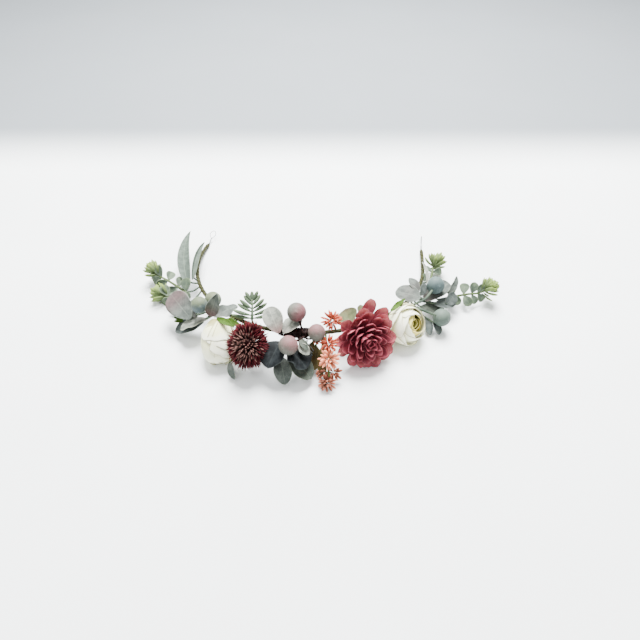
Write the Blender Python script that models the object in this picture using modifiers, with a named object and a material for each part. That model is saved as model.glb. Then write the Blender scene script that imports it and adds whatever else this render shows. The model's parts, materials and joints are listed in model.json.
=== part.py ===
"""Flower crown: a taped wire band with artificial flowers, leaves, berries and sprigs.

The band is an arc about the crown's centre.  Every pick (a flower, or a bunch of leaves and
berries on one stem) sits on an empty on the band's centre line, so a place on a pick is
(out, along, up): away from the head, along the band towards +X, and above the band.
Layout values are millimetres and degrees, and MM turns them into metres.
"""
import math

import bmesh
import bpy
from mathutils import Matrix, Vector

MM = 0.001

# Band
BAND_RADIUS = 110.0       # arc of the band's centre line
FRONT_HEIGHT = 24.0       # band's centre line above the table, at the front
TAPE_RADIUS = 1.7         # outside of the taped band
WIRE_RADIUS = 0.6         # core wire
CLEARANCE = 0.3           # gap between pieces that touch
LEFT_TAIL_LENGTH = 52.0
RIGHT_TAIL_LENGTH = 37.0
LEFT_TAIL_CURVE = 1.0     # share of the band's own curve that a tail keeps
RIGHT_TAIL_CURVE = 0.15
HINGE_GAP = 1.8           # bare bend between a tail and the band
BAND_STEP = 8.0           # spacing of the points along the band

# End loops
LOOP_WIRE_RADIUS = 0.35
LOOP_LENGTH = 15.0
LOOP_WIDTH = 6.4          # between the wire's centre lines
LOOP_PITCH = 22.0         # loops rise from the tails' ends

# Centre wrap, with the flat face that a comb is sewn to
WRAP_PLACE = -7.0
WRAP_LENGTH = 14.0
WRAP_DEPTH = 7.0
WRAP_HEIGHT = 7.5
WRAP_EDGE = 0.9

# Flowers
DAHLIA_RADIUS = 25.5
DAHLIA_DEPTH = 10.0       # of the outer petals' bowl
DAHLIA_HEIGHT = 19.0      # from the calyx to the top of the inner petals
DAHLIA_PETAL_WALL = 2.5
RIGHT_ROSE_RADIUS = 15.0
RIGHT_ROSE_LENGTH = 28.0
LEFT_ROSE_RADIUS = 12.5
LEFT_ROSE_LENGTH = 35.0
ROSE_PETAL_WALL = 2.2
CALYX_HEIGHT = 4.0
THISTLE_RADIUS = 14.5
THISTLE_CORE_RADIUS = 6.0
STEM_RADIUS = 0.9
CORAL_RADIUS = 5.5
CORAL_GAP = 1.2           # between the flowers on the coral spray

# Leaves and berries
LEAF_THICKNESS = 0.8
BERRY_RADIUS = 7.6
SMALL_BERRY_RADIUS = 6.9

TURN_STEPS = 18           # sides of a turned shape

# Places of the picks along the band, each one beside the last, from the front to the tails
CENTER_PLACE = -15.0
CORAL_PLACE = 15.0
DAHLIA_PLACE = CORAL_PLACE + DAHLIA_RADIUS + 5.5
RIGHT_ROSE_PLACE = DAHLIA_PLACE + DAHLIA_RADIUS + RIGHT_ROSE_RADIUS - 3.5
RIGHT_EUCALYPTUS_PLACE = RIGHT_ROSE_PLACE + RIGHT_ROSE_RADIUS + 9.5
RIGHT_SPRIG_PLACE = RIGHT_EUCALYPTUS_PLACE + 26.5
RIGHT_HINGE = RIGHT_SPRIG_PLACE + 23.0
RIGHT_END = RIGHT_HINGE + RIGHT_TAIL_LENGTH
THISTLE_PLACE = CENTER_PLACE - THISTLE_RADIUS - 12.5
LEFT_ROSE_PLACE = THISTLE_PLACE - THISTLE_RADIUS - LEFT_ROSE_RADIUS + 3.5
LEFT_EUCALYPTUS_PLACE = LEFT_ROSE_PLACE - LEFT_ROSE_RADIUS - 13.0
LEFT_SPRIG_PLACE = LEFT_EUCALYPTUS_PLACE - 34.7
LEFT_HINGE = LEFT_SPRIG_PLACE - 26.3
LEFT_END = LEFT_HINGE - LEFT_TAIL_LENGTH

OLIVE_TAPE = ("floral_tape", (0.13, 0.12, 0.04), 0.75, 0.0)
STEEL = ("wire", (0.62, 0.63, 0.65), 0.3, 1.0)
BROWN_STEM = ("brown_stem", (0.07, 0.02, 0.02), 0.6, 0.0)
GREEN_STEM = ("green_stem", (0.16, 0.27, 0.05), 0.5, 0.0)
CRIMSON = ("dahlia_petal", (0.40, 0.05, 0.09), 0.6, 0.0)
CREAM = ("rose_petal", (0.86, 0.83, 0.72), 0.6, 0.0)
YELLOW_GREEN = ("rose_heart", (0.55, 0.55, 0.20), 0.6, 0.0)
BURGUNDY = ("thistle", (0.22, 0.02, 0.04), 0.7, 0.0)
SAGE = ("eucalyptus", (0.42, 0.50, 0.45), 0.6, 0.0)
SLATE = ("dark_eucalyptus", (0.10, 0.15, 0.17), 0.6, 0.0)
WILLOW = ("willow", (0.37, 0.46, 0.40), 0.55, 0.0)
SPRIG_GREEN = ("stonecrop", (0.40, 0.50, 0.26), 0.6, 0.0)
SEDUM_GREEN = ("sedum", (0.25, 0.36, 0.26), 0.6, 0.0)
PINK_BERRY = ("pink_berry", (0.55, 0.38, 0.40), 0.6, 0.0)
BLUE_BERRY = ("blue_berry", (0.30, 0.42, 0.42), 0.6, 0.0)
CORAL = ("coral_flower", (0.80, 0.32, 0.20), 0.6, 0.0)


# ---------------------------------------------------------------- helpers

def clear_scene():
    for item in list(bpy.data.objects):
        bpy.data.objects.remove(item, do_unlink=True)


def new_collection(name):
    group = bpy.data.collections.new(name)
    bpy.context.scene.collection.children.link(group)
    return group


def material(finish):
    name, colour, roughness, metallic = finish
    if name in bpy.data.materials:
        return bpy.data.materials[name]
    made = bpy.data.materials.new(name)
    made.use_nodes = True
    shader = made.node_tree.nodes["Principled BSDF"]
    shader.inputs["Base Color"].default_value = (*colour, 1.0)
    shader.inputs["Roughness"].default_value = roughness
    shader.inputs["Metallic"].default_value = metallic
    return made


def add_object(name, data, parent, finish):
    item = bpy.data.objects.new(name, data)
    parts.objects.link(item)
    item.parent = parent
    item.data.materials.append(material(finish))
    return item


def empty(name, parent, location, turn):
    """An empty at a place in millimetres, turned about +Z."""
    item = bpy.data.objects.new(name, None)
    parts.objects.link(item)
    item.parent = parent
    item.location = Vector(location) * MM
    item.rotation_euler = (0.0, 0.0, turn)
    return item


def mesh_from(name, shape):
    data = bpy.data.meshes.new(name)
    shape.to_mesh(data)
    shape.free()
    data.shade_smooth()
    return data


def split_at_hinge(along):
    """A place as its stretch on the band's arc, its stretch on a tail, and the tail's curve."""
    if along < 0.0:
        body = max(along, LEFT_HINGE)
        return body, along - body, LEFT_TAIL_CURVE / BAND_RADIUS
    body = min(along, RIGHT_HINGE)
    return body, along - body, RIGHT_TAIL_CURVE / BAND_RADIUS


def band_angle(along):
    """The band's heading, turned from +X, at a place along it."""
    body, tail, curve = split_at_hinge(along)
    return body / BAND_RADIUS + tail * curve


def band_height(along):
    """The band lies on the table at its ends and rises to FRONT_HEIGHT in a cosine."""
    end = LEFT_END if along < 0 else RIGHT_END
    rise = math.cos(0.5 * math.pi * min(along / end, 1.0))
    return TAPE_RADIUS + (FRONT_HEIGHT - TAPE_RADIUS) * rise


def band_point(along):
    """A place on the band's centre line: the band's arc, then a tail's own arc."""
    body, tail, curve = split_at_hinge(along)
    turn = body / BAND_RADIUS
    end = turn + tail * curve
    x = BAND_RADIUS * math.sin(turn) + (math.sin(end) - math.sin(turn)) / curve
    y = -BAND_RADIUS * math.cos(turn) - (math.cos(end) - math.cos(turn)) / curve
    return Vector((x, y, band_height(along)))


def pick(name, along):
    """An empty on the band: its +X points away from the head and its +Y along the band."""
    return empty(name, crown, band_point(along), band_angle(along) - 0.5 * math.pi)


def aim(item, base, direction, axis):
    """Place an object at base (mm) with one of its axes along direction."""
    item.location = Vector(base) * MM
    item.rotation_euler = direction.to_track_quat(axis, "Y").to_euler()


# ---------------------------------------------------------------- shapes

def tube(name, parent, points, radius, finish, sides=2):
    """A wire or stem through points in millimetres, with filled ends."""
    data = bpy.data.curves.new(name, "CURVE")
    data.dimensions = "3D"
    line = data.splines.new("POLY")
    line.points.add(len(points) - 1)
    for place, point in zip(line.points, points):
        place.co = (*(Vector(point) * MM), 1.0)
    data.bevel_depth = radius * MM
    data.bevel_resolution = sides
    data.use_fill_caps = True
    return add_object(name, data, parent, finish)


def sleeve(name, parent, points, outer, inner, finish):
    """Tape wound round a wire: an open tube with its wall turned inwards."""
    item = tube(name, parent, points, outer, finish)
    item.data.use_fill_caps = False
    wall = item.modifiers.new("Wall", "SOLIDIFY")
    wall.thickness = (outer - inner) * MM
    wall.offset = -1.0
    return item


def turned(name, parent, base, direction, profile, finish):
    """A turned shape: (radius, height) points down its outer side, about base to tip."""
    shape = bmesh.new()
    corners = [shape.verts.new((radius * MM, 0.0, height * MM)) for radius, height in profile]
    for first, second in zip(corners, corners[1:]):
        shape.edges.new((first, second))
    item = add_object(name, mesh_from(name, shape), parent, finish)
    turn = item.modifiers.new("Turn", "SCREW")
    turn.steps = TURN_STEPS
    turn.render_steps = TURN_STEPS
    turn.use_merge_vertices = True
    turn.merge_threshold = 0.00001
    aim(item, base, Vector(direction), "Z")
    return item


def ball(name, parent, centre, radius, finish, segments=14, rings=9):
    shape = bmesh.new()
    bmesh.ops.create_uvsphere(shape, u_segments=segments, v_segments=rings, radius=radius * MM)
    item = add_object(name, mesh_from(name, shape), parent, finish)
    item.location = Vector(centre) * MM
    return item


def leaf(name, parent, base, tip, width, finish, roll=0.0, cup=0.12, arch=0.06, sweep=0.0,
         widest=0.55, along=6, across=4, thickness=LEAF_THICKNESS):
    """A leaf from base to tip: a grid narrowed to an outline, cupped, arched and thickened.

    roll turns its face about its own length, cup lifts its edges by a share of its half
    width, arch lifts its middle by a share of its length, and sweep curves it sideways.
    """
    base, tip = Vector(base), Vector(tip)
    length = (tip - base).length
    bulge = math.log(0.5) / math.log(widest)
    shape = bmesh.new()
    bmesh.ops.create_grid(shape, x_segments=along, y_segments=across, size=0.5)
    for corner in shape.verts:
        run = corner.co.x + 0.5
        side = 2.0 * corner.co.y
        half = 0.5 * width * max(math.sin(math.pi * run ** bulge), 0.12)
        bow = 4.0 * run * (1.0 - run)
        corner.co.x = length * run * MM
        corner.co.y = (half * side + sweep * bow) * MM
        corner.co.z = (arch * length * bow + cup * half * side * side) * MM
    item = add_object(name, mesh_from(name, shape), parent, finish)
    wall = item.modifiers.new("Thickness", "SOLIDIFY")
    wall.thickness = thickness * MM
    wall.offset = 0.0
    forward = (tip - base).normalized()
    sideways = Vector((0.0, 0.0, 1.0)).cross(forward).normalized()
    turn = Matrix((forward, sideways, forward.cross(sideways))).transposed()
    item.location = base * MM
    item.rotation_euler = (turn @ Matrix.Rotation(math.radians(roll), 3, "X")).to_euler()
    return item


def arc_profile(radius, centre, start, stop, count):
    """Points on a circle about a place on the axis, from one elevation to another."""
    points = []
    for step in range(count + 1):
        angle = math.radians(start + (stop - start) * step / count)
        points.append((radius * math.cos(angle), centre + radius * math.sin(angle)))
    return points


def on_axis(points):
    """Close a profile's ends on the axis of turning."""
    return [(0.0, points[0][1])] + points + [(0.0, points[-1][1])]


# ---------------------------------------------------------------- band

def band_run(start, stop, owner):
    """Points along the band between two places, in the space of an empty on the crown."""
    count = max(2, round(abs(stop - start) / BAND_STEP))
    origin = owner.matrix_basis.inverted() if owner else Matrix.Identity(4)
    points = []
    for step in range(count + 1):
        place = band_point(start + (stop - start) * step / count)
        points.append((origin @ (place * MM)) / MM)
    return points


def band():
    half = 0.5 * HINGE_GAP
    bore = WIRE_RADIUS + CLEARANCE
    route = band_run(LEFT_HINGE + half, RIGHT_HINGE - half, None)
    tube("core_wire", crown, route, WIRE_RADIUS, STEEL, sides=1)
    sleeve("band_tape", crown, route, TAPE_RADIUS, bore, OLIVE_TAPE)
    for side, hinge, end in (("left", LEFT_HINGE, LEFT_END), ("right", RIGHT_HINGE, RIGHT_END)):
        joint = empty(side + "_tail_hinge", crown, band_point(hinge), band_angle(hinge))
        start = hinge + math.copysign(half, hinge)
        route = band_run(start, end, joint)
        tube(side + "_tail_wire", joint, route, WIRE_RADIUS, STEEL, sides=1)
        sleeve(side + "_tail_tape", joint, route, TAPE_RADIUS, bore, OLIVE_TAPE)


def loop_route():
    """A teardrop of wire: two ends side by side, opening into a rounded eye."""
    points = []
    count = 20
    for step in range(count + 1):
        turn = math.pi * (1.0 - 2.0 * step / count)
        reach = 0.5 * (1.0 + math.cos(turn))
        side = 0.5 * LOOP_WIDTH * math.sin(turn) * (0.35 + 0.65 * reach ** 0.5) * 1.18
        side += math.copysign(2.0 * LOOP_WIRE_RADIUS, -step + 0.5 * count) * (1.0 - reach)
        points.append((LOOP_LENGTH * reach, side, 0.0))
    return points


def end_loops():
    """Each loop swings on an empty at its tail's end, whose +X runs on past the tail."""
    for side, end, roll in (("left", LEFT_END, 0.0), ("right", RIGHT_END, 90.0)):
        onward = band_angle(end) + (math.pi if end < 0 else 0.0)
        place = band_point(end)
        heading = Vector((math.cos(onward), math.sin(onward), 0.0))
        start = place + heading * (CLEARANCE + 2.0 * LOOP_WIRE_RADIUS)
        joint = empty(side + "_loop_hinge", crown, start, onward)
        loop = tube(side + "_end_loop", joint, loop_route(), LOOP_WIRE_RADIUS, STEEL, sides=1)
        loop.rotation_euler = (math.radians(roll), -math.radians(LOOP_PITCH), 0.0)


def center_wrap():
    """A wound block round the band, bored for the tape, with a flat face to the head."""
    shape = bmesh.new()
    bmesh.ops.create_cube(shape, size=1.0)
    size = Vector((WRAP_LENGTH, WRAP_DEPTH, WRAP_HEIGHT)) * MM
    bmesh.ops.scale(shape, vec=size, verts=shape.verts)
    block = add_object("center_wrap", mesh_from("center_wrap", shape), crown, OLIVE_TAPE)
    block.location = band_point(WRAP_PLACE) * MM
    edge = block.modifiers.new("Edges", "BEVEL")
    edge.width = WRAP_EDGE * MM
    edge.segments = 2

    reach = 0.5 * WRAP_LENGTH + 2.0 * BAND_STEP
    route = band_run(WRAP_PLACE - reach, WRAP_PLACE + reach, None)
    drill = tube("wrap_bore", crown, route, TAPE_RADIUS + CLEARANCE, OLIVE_TAPE)
    bpy.context.view_layer.update()
    seen = drill.evaluated_get(bpy.context.evaluated_depsgraph_get())
    data = bpy.data.meshes.new_from_object(seen)
    bpy.data.objects.remove(drill, do_unlink=True)
    shape = bmesh.new()
    shape.from_mesh(data)
    bmesh.ops.remove_doubles(shape, verts=shape.verts, dist=0.00001)
    shape.to_mesh(data)
    shape.free()
    cutter = bpy.data.objects.new("wrap_bore_cutter", data)
    cutters.objects.link(cutter)
    cutter.parent = crown
    cutter.hide_render = True
    cutter.display_type = "WIRE"
    bore = block.modifiers.new("Bore", "BOOLEAN")
    bore.operation = "DIFFERENCE"
    bore.object = cutter


# ---------------------------------------------------------------- flowers

def stem_to_band(name, place, calyx, facing, start, stop, finish):
    """A stem straight out of a calyx, then bent to lie under the band between two places."""
    under = Vector((0.0, 0.0, TAPE_RADIUS + 2.0 * CLEARANCE + STEM_RADIUS))
    neck = [calyx, calyx - facing * 2.0 * STEM_RADIUS]
    run = [point - under for point in band_run(start, stop, place)]
    return tube(name, place, neck + run, STEM_RADIUS, finish)


def dahlia():
    place = pick("dahlia_pick", DAHLIA_PLACE)
    facing = Vector((0.88, -0.12, 0.455)).normalized()
    base = Vector((8.5, -2.5, -4.0))
    rim = DAHLIA_RADIUS
    count = 7

    def bowl(radius):
        return DAHLIA_DEPTH * (radius / rim) ** 1.4

    hub = 3.0
    spread = [hub + (rim - hub) * step / count for step in range(count + 1)]
    inside = [(radius, bowl(radius) + DAHLIA_PETAL_WALL) for radius in spread]
    outside = [(radius, bowl(radius)) for radius in reversed(spread)]
    turned("dahlia_outer_petals", place, base, facing, on_axis(inside + outside), CRIMSON)

    seat = DAHLIA_PETAL_WALL + 3.0 * CLEARANCE
    inner = 0.78 * rim
    below = [(radius, bowl(radius) + seat) for radius in reversed(spread) if radius < inner]
    start = bowl(below[0][0]) + seat
    rise = DAHLIA_HEIGHT - start
    dome = []
    for step in range(6):
        angle = 0.5 * math.pi * (1.0 - step / 6.0)
        dome.append((below[0][0] * math.cos(angle), start + rise * math.sin(angle)))
    turned("dahlia_inner_petals", place, base, facing, dome + below + [(0.0, seat)], CRIMSON)

    back = base - facing * CLEARANCE
    cup = [(0.0, 0.0), (hub, 0.0), (0.8 * hub, -0.4 * CALYX_HEIGHT), (STEM_RADIUS, -CALYX_HEIGHT),
           (0.0, -CALYX_HEIGHT)]
    turned("dahlia_calyx", place, back, facing, cup, GREEN_STEM)
    end = back - facing * (CALYX_HEIGHT + CLEARANCE)
    stem_to_band("dahlia_stem", place, end, facing, DAHLIA_PLACE + 5.0, DAHLIA_PLACE + 15.0,
                 GREEN_STEM)

    leaf("dahlia_leaf_left", place, (-2.5, -9.0, 3.5), (-22.5, -4.5, 0.5), 13.0, SAGE,
         roll=-25.0, widest=0.45)
    leaf("dahlia_leaf_right", place, (-4.0, 3.5, 3.5), (-18.0, 8.0, 3.0), 9.0, SAGE,
         roll=20.0, widest=0.5)


def rose(side, along, middle, facing, radius, length, finish_end):
    """A half-open rose: a cupped shell of petals, the heart inside it, and a calyx.

    middle is the flower's middle, with its first value the room between band and petals.
    """
    place = pick(side + "_rose_pick", along)
    facing = Vector(facing).normalized()
    clear, sideways, up = middle
    base = Vector((TAPE_RADIUS + clear + radius, sideways, up)) - facing * 0.5 * length
    count = 7
    lip = 0.78

    def body(run):
        return radius * math.sin(math.pi * (0.10 + 0.80 * run) ** 0.9) ** 0.75

    runs = [lip * step / count for step in range(count + 1)]
    outside = [(body(run), length * run) for run in reversed(runs)]
    floor = 1.5 * ROSE_PETAL_WALL
    inside = []
    for run in runs:
        if length * run > floor:
            inside.append((body(run) - ROSE_PETAL_WALL, length * run))
    shell = [(0.0, floor)] + [(inside[0][0], floor)] + inside[1:] + outside
    turned(side + "_rose_petals", place, base, facing, shell + [(0.0, 0.0)], CREAM)

    room = ROSE_PETAL_WALL + CLEARANCE + 0.3
    heart = [(0.0, length)]
    for step in range(5):
        run = 1.0 - 0.02 - (1.0 - lip) * step / 5.0
        heart.append((max(0.5, (body(run) - room) * finish_end), length * run))
    for run in reversed(runs):
        if length * run > floor + 0.2 * length:
            heart.append((body(run) - room, length * run))
    heart.append((0.45 * radius, floor + CLEARANCE))
    heart.append((0.0, floor + CLEARANCE))
    turned(side + "_rose_heart", place, base, facing, heart, YELLOW_GREEN)

    back = Vector(base) - facing * CLEARANCE
    hub = 0.9 * body(0.0)
    cup = [(0.0, 0.0), (hub, 0.0), (0.7 * hub, -0.5 * CALYX_HEIGHT), (STEM_RADIUS, -CALYX_HEIGHT),
           (0.0, -CALYX_HEIGHT)]
    turned(side + "_rose_calyx", place, back, facing, cup, GREEN_STEM)


def roses():
    rose("right", RIGHT_ROSE_PLACE, (0.8, -4.4, -4.0), (0.765, -0.03, 0.64),
         RIGHT_ROSE_RADIUS, RIGHT_ROSE_LENGTH, 0.95)
    rose("left", LEFT_ROSE_PLACE, (13.0, 2.5, -8.3), (0.83, 0.33, -0.41),
         LEFT_ROSE_RADIUS, LEFT_ROSE_LENGTH, 0.9)


def thistle():
    """A ball of bristles on a round core; the stem leaves through the back of the ball."""
    place = pick("thistle_pick", THISTLE_PLACE)
    centre = Vector((TAPE_RADIUS + THISTLE_RADIUS + 6.0, 1.0, 1.5))
    facing = Vector((0.8, 0.1, 0.6)).normalized()
    wall = THISTLE_CORE_RADIUS + CLEARANCE
    opening = STEM_RADIUS + CLEARANCE
    back = math.degrees(math.acos(opening / THISTLE_RADIUS))
    inner_back = math.degrees(math.acos(opening / wall))
    outer = arc_profile(THISTLE_RADIUS, 0.0, 90.0, -back, 10)
    inner = arc_profile(wall, 0.0, -inner_back, 90.0, 7)
    profile = [(0.0, THISTLE_RADIUS)] + outer[1:] + inner[:-1] + [(0.0, wall)]
    turned("thistle_bristles", place, centre, facing, profile, BURGUNDY)
    core = arc_profile(THISTLE_CORE_RADIUS, 0.0, 90.0, -80.0, 7)
    neck = [(STEM_RADIUS, -THISTLE_CORE_RADIUS), (STEM_RADIUS, -THISTLE_RADIUS - 3.0)]
    profile = [(0.0, THISTLE_CORE_RADIUS)] + core[1:] + neck + [(0.0, neck[-1][1])]
    turned("thistle_core", place, centre, facing, profile, GREEN_STEM)
    leaf("sedum_sprig", place, (-2.0, -7.5, 4.0), (-21.0, -16.5, 15.0), 27.0, SEDUM_GREEN,
         cup=0.0, arch=0.0, widest=0.6, thickness=2.4)


# ---------------------------------------------------------------- leaves, berries and sprigs

def center_pick():
    place = pick("center_pick", CENTER_PLACE)
    top = Vector((-8.0, 4.5, BERRY_RADIUS + 8.9))
    front = Vector((21.5, 2.7, BERRY_RADIUS + 1.9))
    right = Vector((4.8, 22.6, SMALL_BERRY_RADIUS + 1.8))
    leaf("center_leaf_upper_left", place, (6.0, -8.0, 4.0), (-10.5, -19.0, 15.0), 13.0, SAGE,
         roll=-10.0)
    leaf("center_leaf_upper_right", place, (6.0, -4.0, 5.2), (-9.5, 6.0, 6.5), 12.0, SAGE,
         roll=-15.0)
    leaf("center_leaf_dark_left", place, (12.0, -5.0, 1.5), (33.0, -11.5, -5.0), 16.0, SLATE,
         roll=15.0)
    leaf("center_leaf_dark_right", place, (18.0, 1.0, -1.0), (29.0, 18.0, -8.0), 15.0, SLATE,
         roll=-20.0)
    leaf("center_leaf_lower_left", place, (20.0, -5.0, -8.5), (39.5, 2.0, -18.5), 13.0, SAGE)
    leaf("center_leaf_lower_right", place, (19.0, 2.5, -8.0), (32.0, 22.0, -17.0), 14.0, SAGE)
    ball("center_berry_top", place, top, BERRY_RADIUS, PINK_BERRY)
    ball("center_berry_front", place, front, BERRY_RADIUS, PINK_BERRY)
    ball("center_berry_right", place, right, SMALL_BERRY_RADIUS, PINK_BERRY)
    berry_stem("center_berry_top_stem", place, (3.5, 11.5, 5.2), top, BERRY_RADIUS, BROWN_STEM)
    berry_stem("center_berry_front_stem", place, (5.0, 12.5, 2.0), front, BERRY_RADIUS,
               BROWN_STEM)


def berry_stem(name, place, start, centre, radius, finish):
    """A wire stem that stops at the berry's skin."""
    start, centre = Vector(start), Vector(centre)
    way = (centre - start).normalized()
    end = centre - way * (radius + CLEARANCE)
    bend = start.lerp(end, 0.5) - Vector((0.0, 0.0, 0.6))
    return tube(name, place, [start, bend, end], 0.7 * STEM_RADIUS, finish, sides=1)


def coral_pick():
    place = pick("coral_pick", CORAL_PLACE)
    pitch = 2.0 * CORAL_RADIUS + CORAL_GAP
    upper = Vector((CORAL_RADIUS + 9.5, -0.5, 2.2))
    lower = upper + Vector((0.9, -0.1, -0.42)).normalized() * pitch
    bottom = lower + Vector((0.62, -0.2, -0.76)).normalized() * (pitch + 7.0)
    heads = {
        "coral_flower_top": Vector((-7.0, 5.5, CORAL_RADIUS + 0.5)),
        "coral_flower_upper": upper,
        "coral_flower_lower": lower,
        "coral_flower_bottom": bottom,
    }
    for name, centre in heads.items():
        ball(name, place, centre, CORAL_RADIUS, CORAL, segments=10, rings=7)
    under = Vector((0.0, 0.0, CORAL_RADIUS + 3.0 * CLEARANCE + STEM_RADIUS))
    route = [Vector((4.5, -3.0, -3.0)), upper - under, lower - under,
             bottom + Vector((-0.3, 0.2, 1.1)).normalized() * (CORAL_RADIUS + STEM_RADIUS + CLEARANCE)]
    tube("coral_stem", place, route, STEM_RADIUS, GREEN_STEM)


def left_eucalyptus():
    place = pick("left_eucalyptus_pick", LEFT_EUCALYPTUS_PLACE)
    leaf("left_leaf_round", place, (20.5, 1.5, 0.0), (29.5, -30.5, 2.5), 23.0, SAGE,
         roll=-12.0)
    leaf("left_leaf_long", place, (14.5, 7.0, -1.0), (34.5, -1.0, -4.5), 9.0, SAGE, roll=10.0)
    leaf("left_leaf_under", place, (15.0, 2.0, -6.0), (36.0, -9.0, -12.0), 14.0, SLATE)
    leaf("left_leaf_upright", place, (12.5, 9.0, 3.0), (3.0, 12.5, 27.0), 9.0, SAGE,
         roll=60.0)
    leaf("left_leaf_inner", place, (10.5, 12.0, 3.0), (-12.0, 15.5, 3.6), 13.0, SAGE)
    ball("left_berry_blue", place, (16.2, 2.0, SMALL_BERRY_RADIUS + 7.6), SMALL_BERRY_RADIUS,
         BLUE_BERRY)
    ball("left_berry_sage", place, (2.0, 0.0, SMALL_BERRY_RADIUS + 2.4), SMALL_BERRY_RADIUS,
         BLUE_BERRY)


def right_eucalyptus():
    place = pick("right_eucalyptus_pick", RIGHT_EUCALYPTUS_PLACE)
    leaf("right_leaf_round", place, (8.5, 0.5, 4.0), (-12.5, -5.5, 4.6), 17.0, SAGE)
    leaf("right_leaf_cupped", place, (11.0, 5.0, -2.0), (22.0, 31.0, 5.0), 15.0, SAGE)
    leaf("right_leaf_under", place, (10.0, -1.0, -5.5), (31.0, 9.5, -8.5), 12.0, SLATE)
    leaf("right_leaf_lower", place, (19.5, -6.5, -8.5), (30.0, -19.0, -13.5), 8.0, SLATE)
    side = Vector((BERRY_RADIUS + 25.0, -5.5, -1.4))
    ball("right_berry_top", place, (14.8, 15.0, BERRY_RADIUS + 3.6), BERRY_RADIUS, BLUE_BERRY)
    ball("right_berry_side", place, side, BERRY_RADIUS, BLUE_BERRY)
    berry_stem("right_berry_side_stem", place, (9.0, -6.0, -1.5), side, BERRY_RADIUS,
               GREEN_STEM)


def sprig(name, place, base, tip, finish, rosette, stem=1.6, shoulder=0.55):
    """A leafy sprig as a plain turned solid: a slim stem that swells into its rosette."""
    base, tip = Vector(base), Vector(tip)
    length = (tip - base).length
    profile = [(0.0, length), (0.45 * rosette, 0.97 * length), (rosette, 0.88 * length),
               (0.75 * rosette, 0.75 * length), (1.6 * stem, shoulder * length), (stem, 0.0),
               (0.0, 0.0)]
    return turned(name, place, base, tip - base, profile, finish)


def left_sprigs():
    place = pick("left_sprig_pick", LEFT_SPRIG_PLACE)
    sprig("left_sprig_back", place, (13.5, -1.0, -2.5), (38.0, -46.0, 0.0), SPRIG_GREEN, 7.5)
    sprig("left_sprig_front", place, (16.5, 10.5, -5.5), (40.0, -20.5, -6.0), SPRIG_GREEN, 6.5)
    leaf("willow_leaf_tall", place, (8.0, -1.0, 1.5), (-10.0, -73.0, 7.0), 11.5, WILLOW,
         roll=15.0, sweep=6.5, along=10, cup=0.2)
    leaf("willow_leaf_slim", place, (4.0, -8.0, 1.5), (-17.0, -63.0, 2.0), 7.0, WILLOW,
         roll=20.0, sweep=4.5, along=8, cup=0.2)


def right_sprigs():
    place = pick("right_sprig_pick", RIGHT_SPRIG_PLACE)
    sprig("right_sprig_back", place, (8.0, -7.0, -2.0), (8.0, 38.0, 2.5), SPRIG_GREEN, 7.5)
    sprig("right_sprig_out", place, (20.0, -13.0, -3.0), (66.0, 13.5, 3.0), SPRIG_GREEN, 8.5)


def rest_on_origin():
    """Stand the crown on z = 0 with the middle of its outline over the origin."""
    bpy.context.view_layer.update()
    graph = bpy.context.evaluated_depsgraph_get()
    corners = []
    for item in parts.objects:
        if item.type == "EMPTY":
            continue
        seen = item.evaluated_get(graph)
        shape = seen.to_mesh()
        corners += [item.matrix_world @ corner.co for corner in shape.vertices]
        seen.to_mesh_clear()
    low = Vector([min(corner[axis] for corner in corners) for axis in range(3)])
    high = Vector([max(corner[axis] for corner in corners) for axis in range(3)])
    middle = 0.5 * (low + high)
    crown.location = (-middle.x, -middle.y, -low.z)
    bpy.context.view_layer.update()


clear_scene()
parts = new_collection("flower_crown")
cutters = new_collection("cutters")
crown = empty("crown", None, (0.0, 0.0, 0.0), 0.0)
band()
end_loops()
center_wrap()
dahlia()
roses()
thistle()
center_pick()
coral_pick()
left_eucalyptus()
right_eucalyptus()
left_sprigs()
right_sprigs()
rest_on_origin()
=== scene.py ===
import json
import math

import bpy
import numpy as np
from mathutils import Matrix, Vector


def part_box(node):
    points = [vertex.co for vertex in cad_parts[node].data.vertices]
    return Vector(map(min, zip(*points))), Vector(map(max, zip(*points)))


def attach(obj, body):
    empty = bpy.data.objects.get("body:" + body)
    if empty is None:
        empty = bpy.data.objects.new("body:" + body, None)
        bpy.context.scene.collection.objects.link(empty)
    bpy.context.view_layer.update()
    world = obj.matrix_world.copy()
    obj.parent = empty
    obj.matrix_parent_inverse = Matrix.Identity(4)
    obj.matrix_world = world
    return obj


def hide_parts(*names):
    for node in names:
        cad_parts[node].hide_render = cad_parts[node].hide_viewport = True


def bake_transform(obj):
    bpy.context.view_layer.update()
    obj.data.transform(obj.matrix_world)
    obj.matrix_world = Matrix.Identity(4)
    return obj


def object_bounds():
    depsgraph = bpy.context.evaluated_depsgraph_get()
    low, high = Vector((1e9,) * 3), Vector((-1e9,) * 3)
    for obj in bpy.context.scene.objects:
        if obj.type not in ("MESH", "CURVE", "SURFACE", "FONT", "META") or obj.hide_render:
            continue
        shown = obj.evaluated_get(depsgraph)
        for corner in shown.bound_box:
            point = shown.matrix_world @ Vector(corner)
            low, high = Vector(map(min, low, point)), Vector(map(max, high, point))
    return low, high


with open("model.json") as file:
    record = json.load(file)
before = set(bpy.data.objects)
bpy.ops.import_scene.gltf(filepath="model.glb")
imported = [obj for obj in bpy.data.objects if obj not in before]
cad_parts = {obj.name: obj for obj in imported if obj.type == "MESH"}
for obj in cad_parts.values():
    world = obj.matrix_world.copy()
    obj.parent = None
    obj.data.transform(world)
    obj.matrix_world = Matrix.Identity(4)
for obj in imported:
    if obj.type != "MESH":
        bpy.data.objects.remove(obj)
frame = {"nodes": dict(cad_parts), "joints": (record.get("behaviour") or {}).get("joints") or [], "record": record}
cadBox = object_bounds()
joints = {joint["name"]: joint for joint in frame["joints"]}
mm = 0.001
goldenAngle = 2.399963                    # turn from one leaf or bristle to the next
seen = np.array([0.0, -0.67, 0.74])       # the way most of the pieces face


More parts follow.
